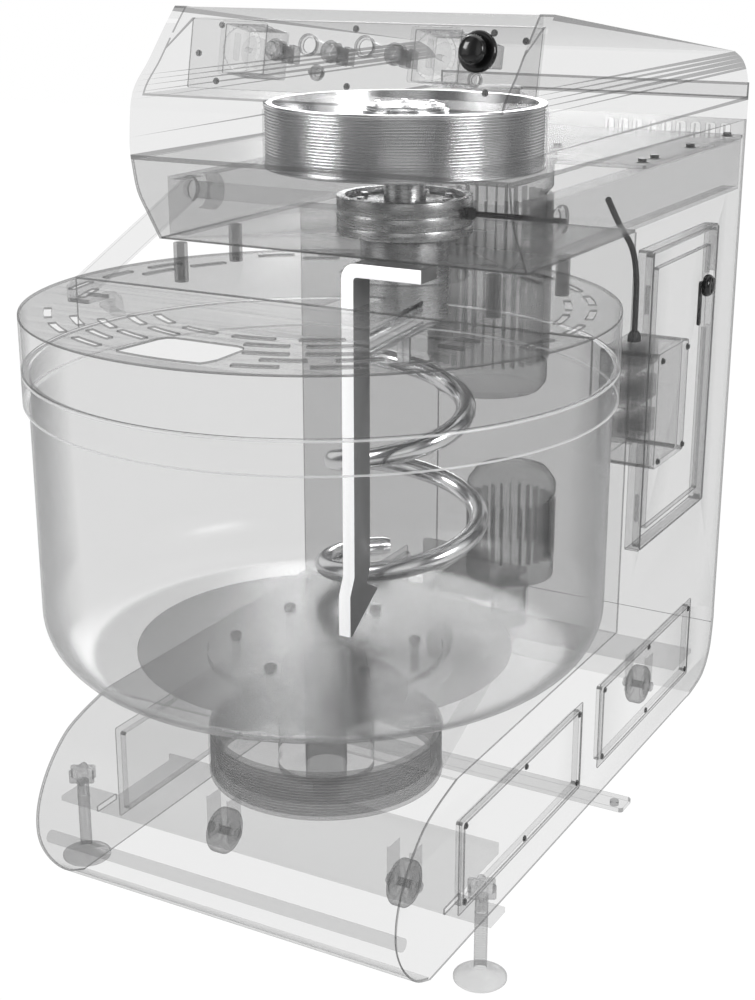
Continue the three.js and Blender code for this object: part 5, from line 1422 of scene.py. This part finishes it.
rear_top = boolean(rear_top, plate(bar_slot_open, [], 20, FACING_UP, (0, 0, GUARD_TOP)), "DIFFERENCE")
post_profile = eased([(0, GUARD_TOP + 0.2), (10, GUARD_TOP + 0.2), (10, HEAD_Z - 0.3), (0, HEAD_Z - 0.3)], 0.8)
tubes = []
for side in (-1, 1):
    for px, py in POSTS:
        tubes.append(lathe(post_profile, side * px, py, 32))
rear_wall_and_posts = joined(arc_wall(False), *tubes)
sheet_piece("rear_guard_wall", rear_wall_and_posts, "frame", "guard_clear", clear_guard, "rear_guard")
sheet_piece("rear_guard_top", rear_top, "frame", "guard_clear", clear_top, "rear_guard")

foot_z, foot_y = box_mm("lid_yoke")[0].z, YOKE_FOOT_Y
arms = []
aim = Vector((PIVOT.y - foot_y, PIVOT.z - foot_z)).normalized()
across = Vector((-aim.y * 20, aim.x * 20))
arm_shape = [(foot_y - 20, foot_z), (foot_y + 26, foot_z), (PIVOT.y - across.x, PIVOT.z - across.y),
             *arc_points(PIVOT.y, PIVOT.z, 19.9, -60, 120, 16), (foot_y - 20, foot_z + 22)]
for side in (-1, 1):
    arms.append(plate(arm_shape, [], 6, FACING_X, (side * (HALF + 6), 0, 0), 0.6))
    arms.append(plate(rectangle(HALF - 27, HALF + 9, foot_y - 20, foot_y + 26, 3), [], 5,
                      Matrix.Diagonal((side, 1, 1, 1)), (0, 0, foot_z + 2.5), 0.5))
shaft_reach = HALF + 8.9
shaft_profile = eased([(0, -shaft_reach), (12.4, -shaft_reach), (12.4, shaft_reach), (0, shaft_reach)], 1.0)
shaft_line = aimed(lathe(shaft_profile, steps=48), (1, 0, 0), PIVOT)
sheet_piece("lid_yoke_arms", joined(*arms), "lid", "clear_frame", clear_guard, "lid_yoke")
piece("lid_yoke_shaft", shaft_line, "lid", "clear_frame", clear_guard, "lid_yoke", see=True)

handle_shape = [(-35, 0), (35, 0), (35, 6), (28, 7), (24, 17), (18, 23), (-18, 23), (-24, 17), (-28, 7),
                (-35, 6)]
grip_hole = [(-20, 3), (20, 3), (15, 14), (-15, 14)]
handle = plate(handle_shape, [grip_hole], 18, FACING_Y, (0, 0, 0), 1.6)
handle.transform(Matrix.Rotation(math.radians(-38), 4, "Z"))
handle.transform(Matrix.Translation((HANDLE_X, HANDLE_Y, GUARD_TOP + 0.3)))
piece("lid_handle_grip", handle, "lid", "guard_clear", clear_guard, "lid_handle", see=True)

# ---------------------------------------------------------------- small screws on the panel, doors and covers
# The panel, the base panels, the box lid and the motor deck are held by rows of small hexagon screws.
# They are all one node tree's work, turned to face their own way.
dark_screw = see_through("dark_screw", 0.6, 0.12, 0.45, 0.9, roughness=0.3, metallic=0.8)
panel_spots = [(-8, -36), (-2, 39), (200, 39), (196, -36), (-215, 39), (-217, -37), (245, 30), (-250, 0)]
panel_face = PANEL @ Matrix.Translation((0, 0, 0.2))
panel_heads = screws(panel_spots, 3.4, 2.6, panel_face, dark_screw)
piece("panel_screws", panel_heads, "frame", "button_metal", dark_screw, see=True)
cover_spots = []
for low, high in panel_boxes:
    for y in (low.y + 16, (low.y + high.y) / 2, high.y - 16):
        cover_spots += [(y, low.z + 15), (y, high.z - 15)]
inner_face = Matrix.Translation((INNER + 0.1, 0, 0))
base_heads = screws(cover_spots, 3.6, 1.6, inner_face @ FACING_X, dark_screw)
piece("base_panel_screws", base_heads, "frame", "button_metal", dark_screw, see=True)
box_spots = [(y, z) for z in (case_low.z + 12, case_high.z - 12) for y in (case_low.y + 12, case_high.y - 12)]
lid_face = Matrix.Translation((case_high.x + 0.3, 0, 0))
box_heads = screws(box_spots, 4.0, 3.0, lid_face @ FACING_X, dark_screw)
piece("electrical_box_screws", box_heads, "frame", "button_metal", dark_screw, see=True)
deck_rows = (deck_low.y + 30, MOTOR_Y, MOTOR_Y + 160, REAR - 40)
deck_spots = [(side * (INNER - 16), y) for side in (-1, 1) for y in deck_rows]
deck_spots += [(side * 80, MOTOR_Y + dy) for side in (-1, 1) for dy in (-70, 70)]
deck_face = Matrix.Translation((0, 0, deck_high.z + 0.1))
deck_heads = screws(deck_spots, 7.0, 5.0, deck_face, dark_screw)
piece("motor_deck_screws", deck_heads, "frame", "button_metal", dark_screw, see=True)
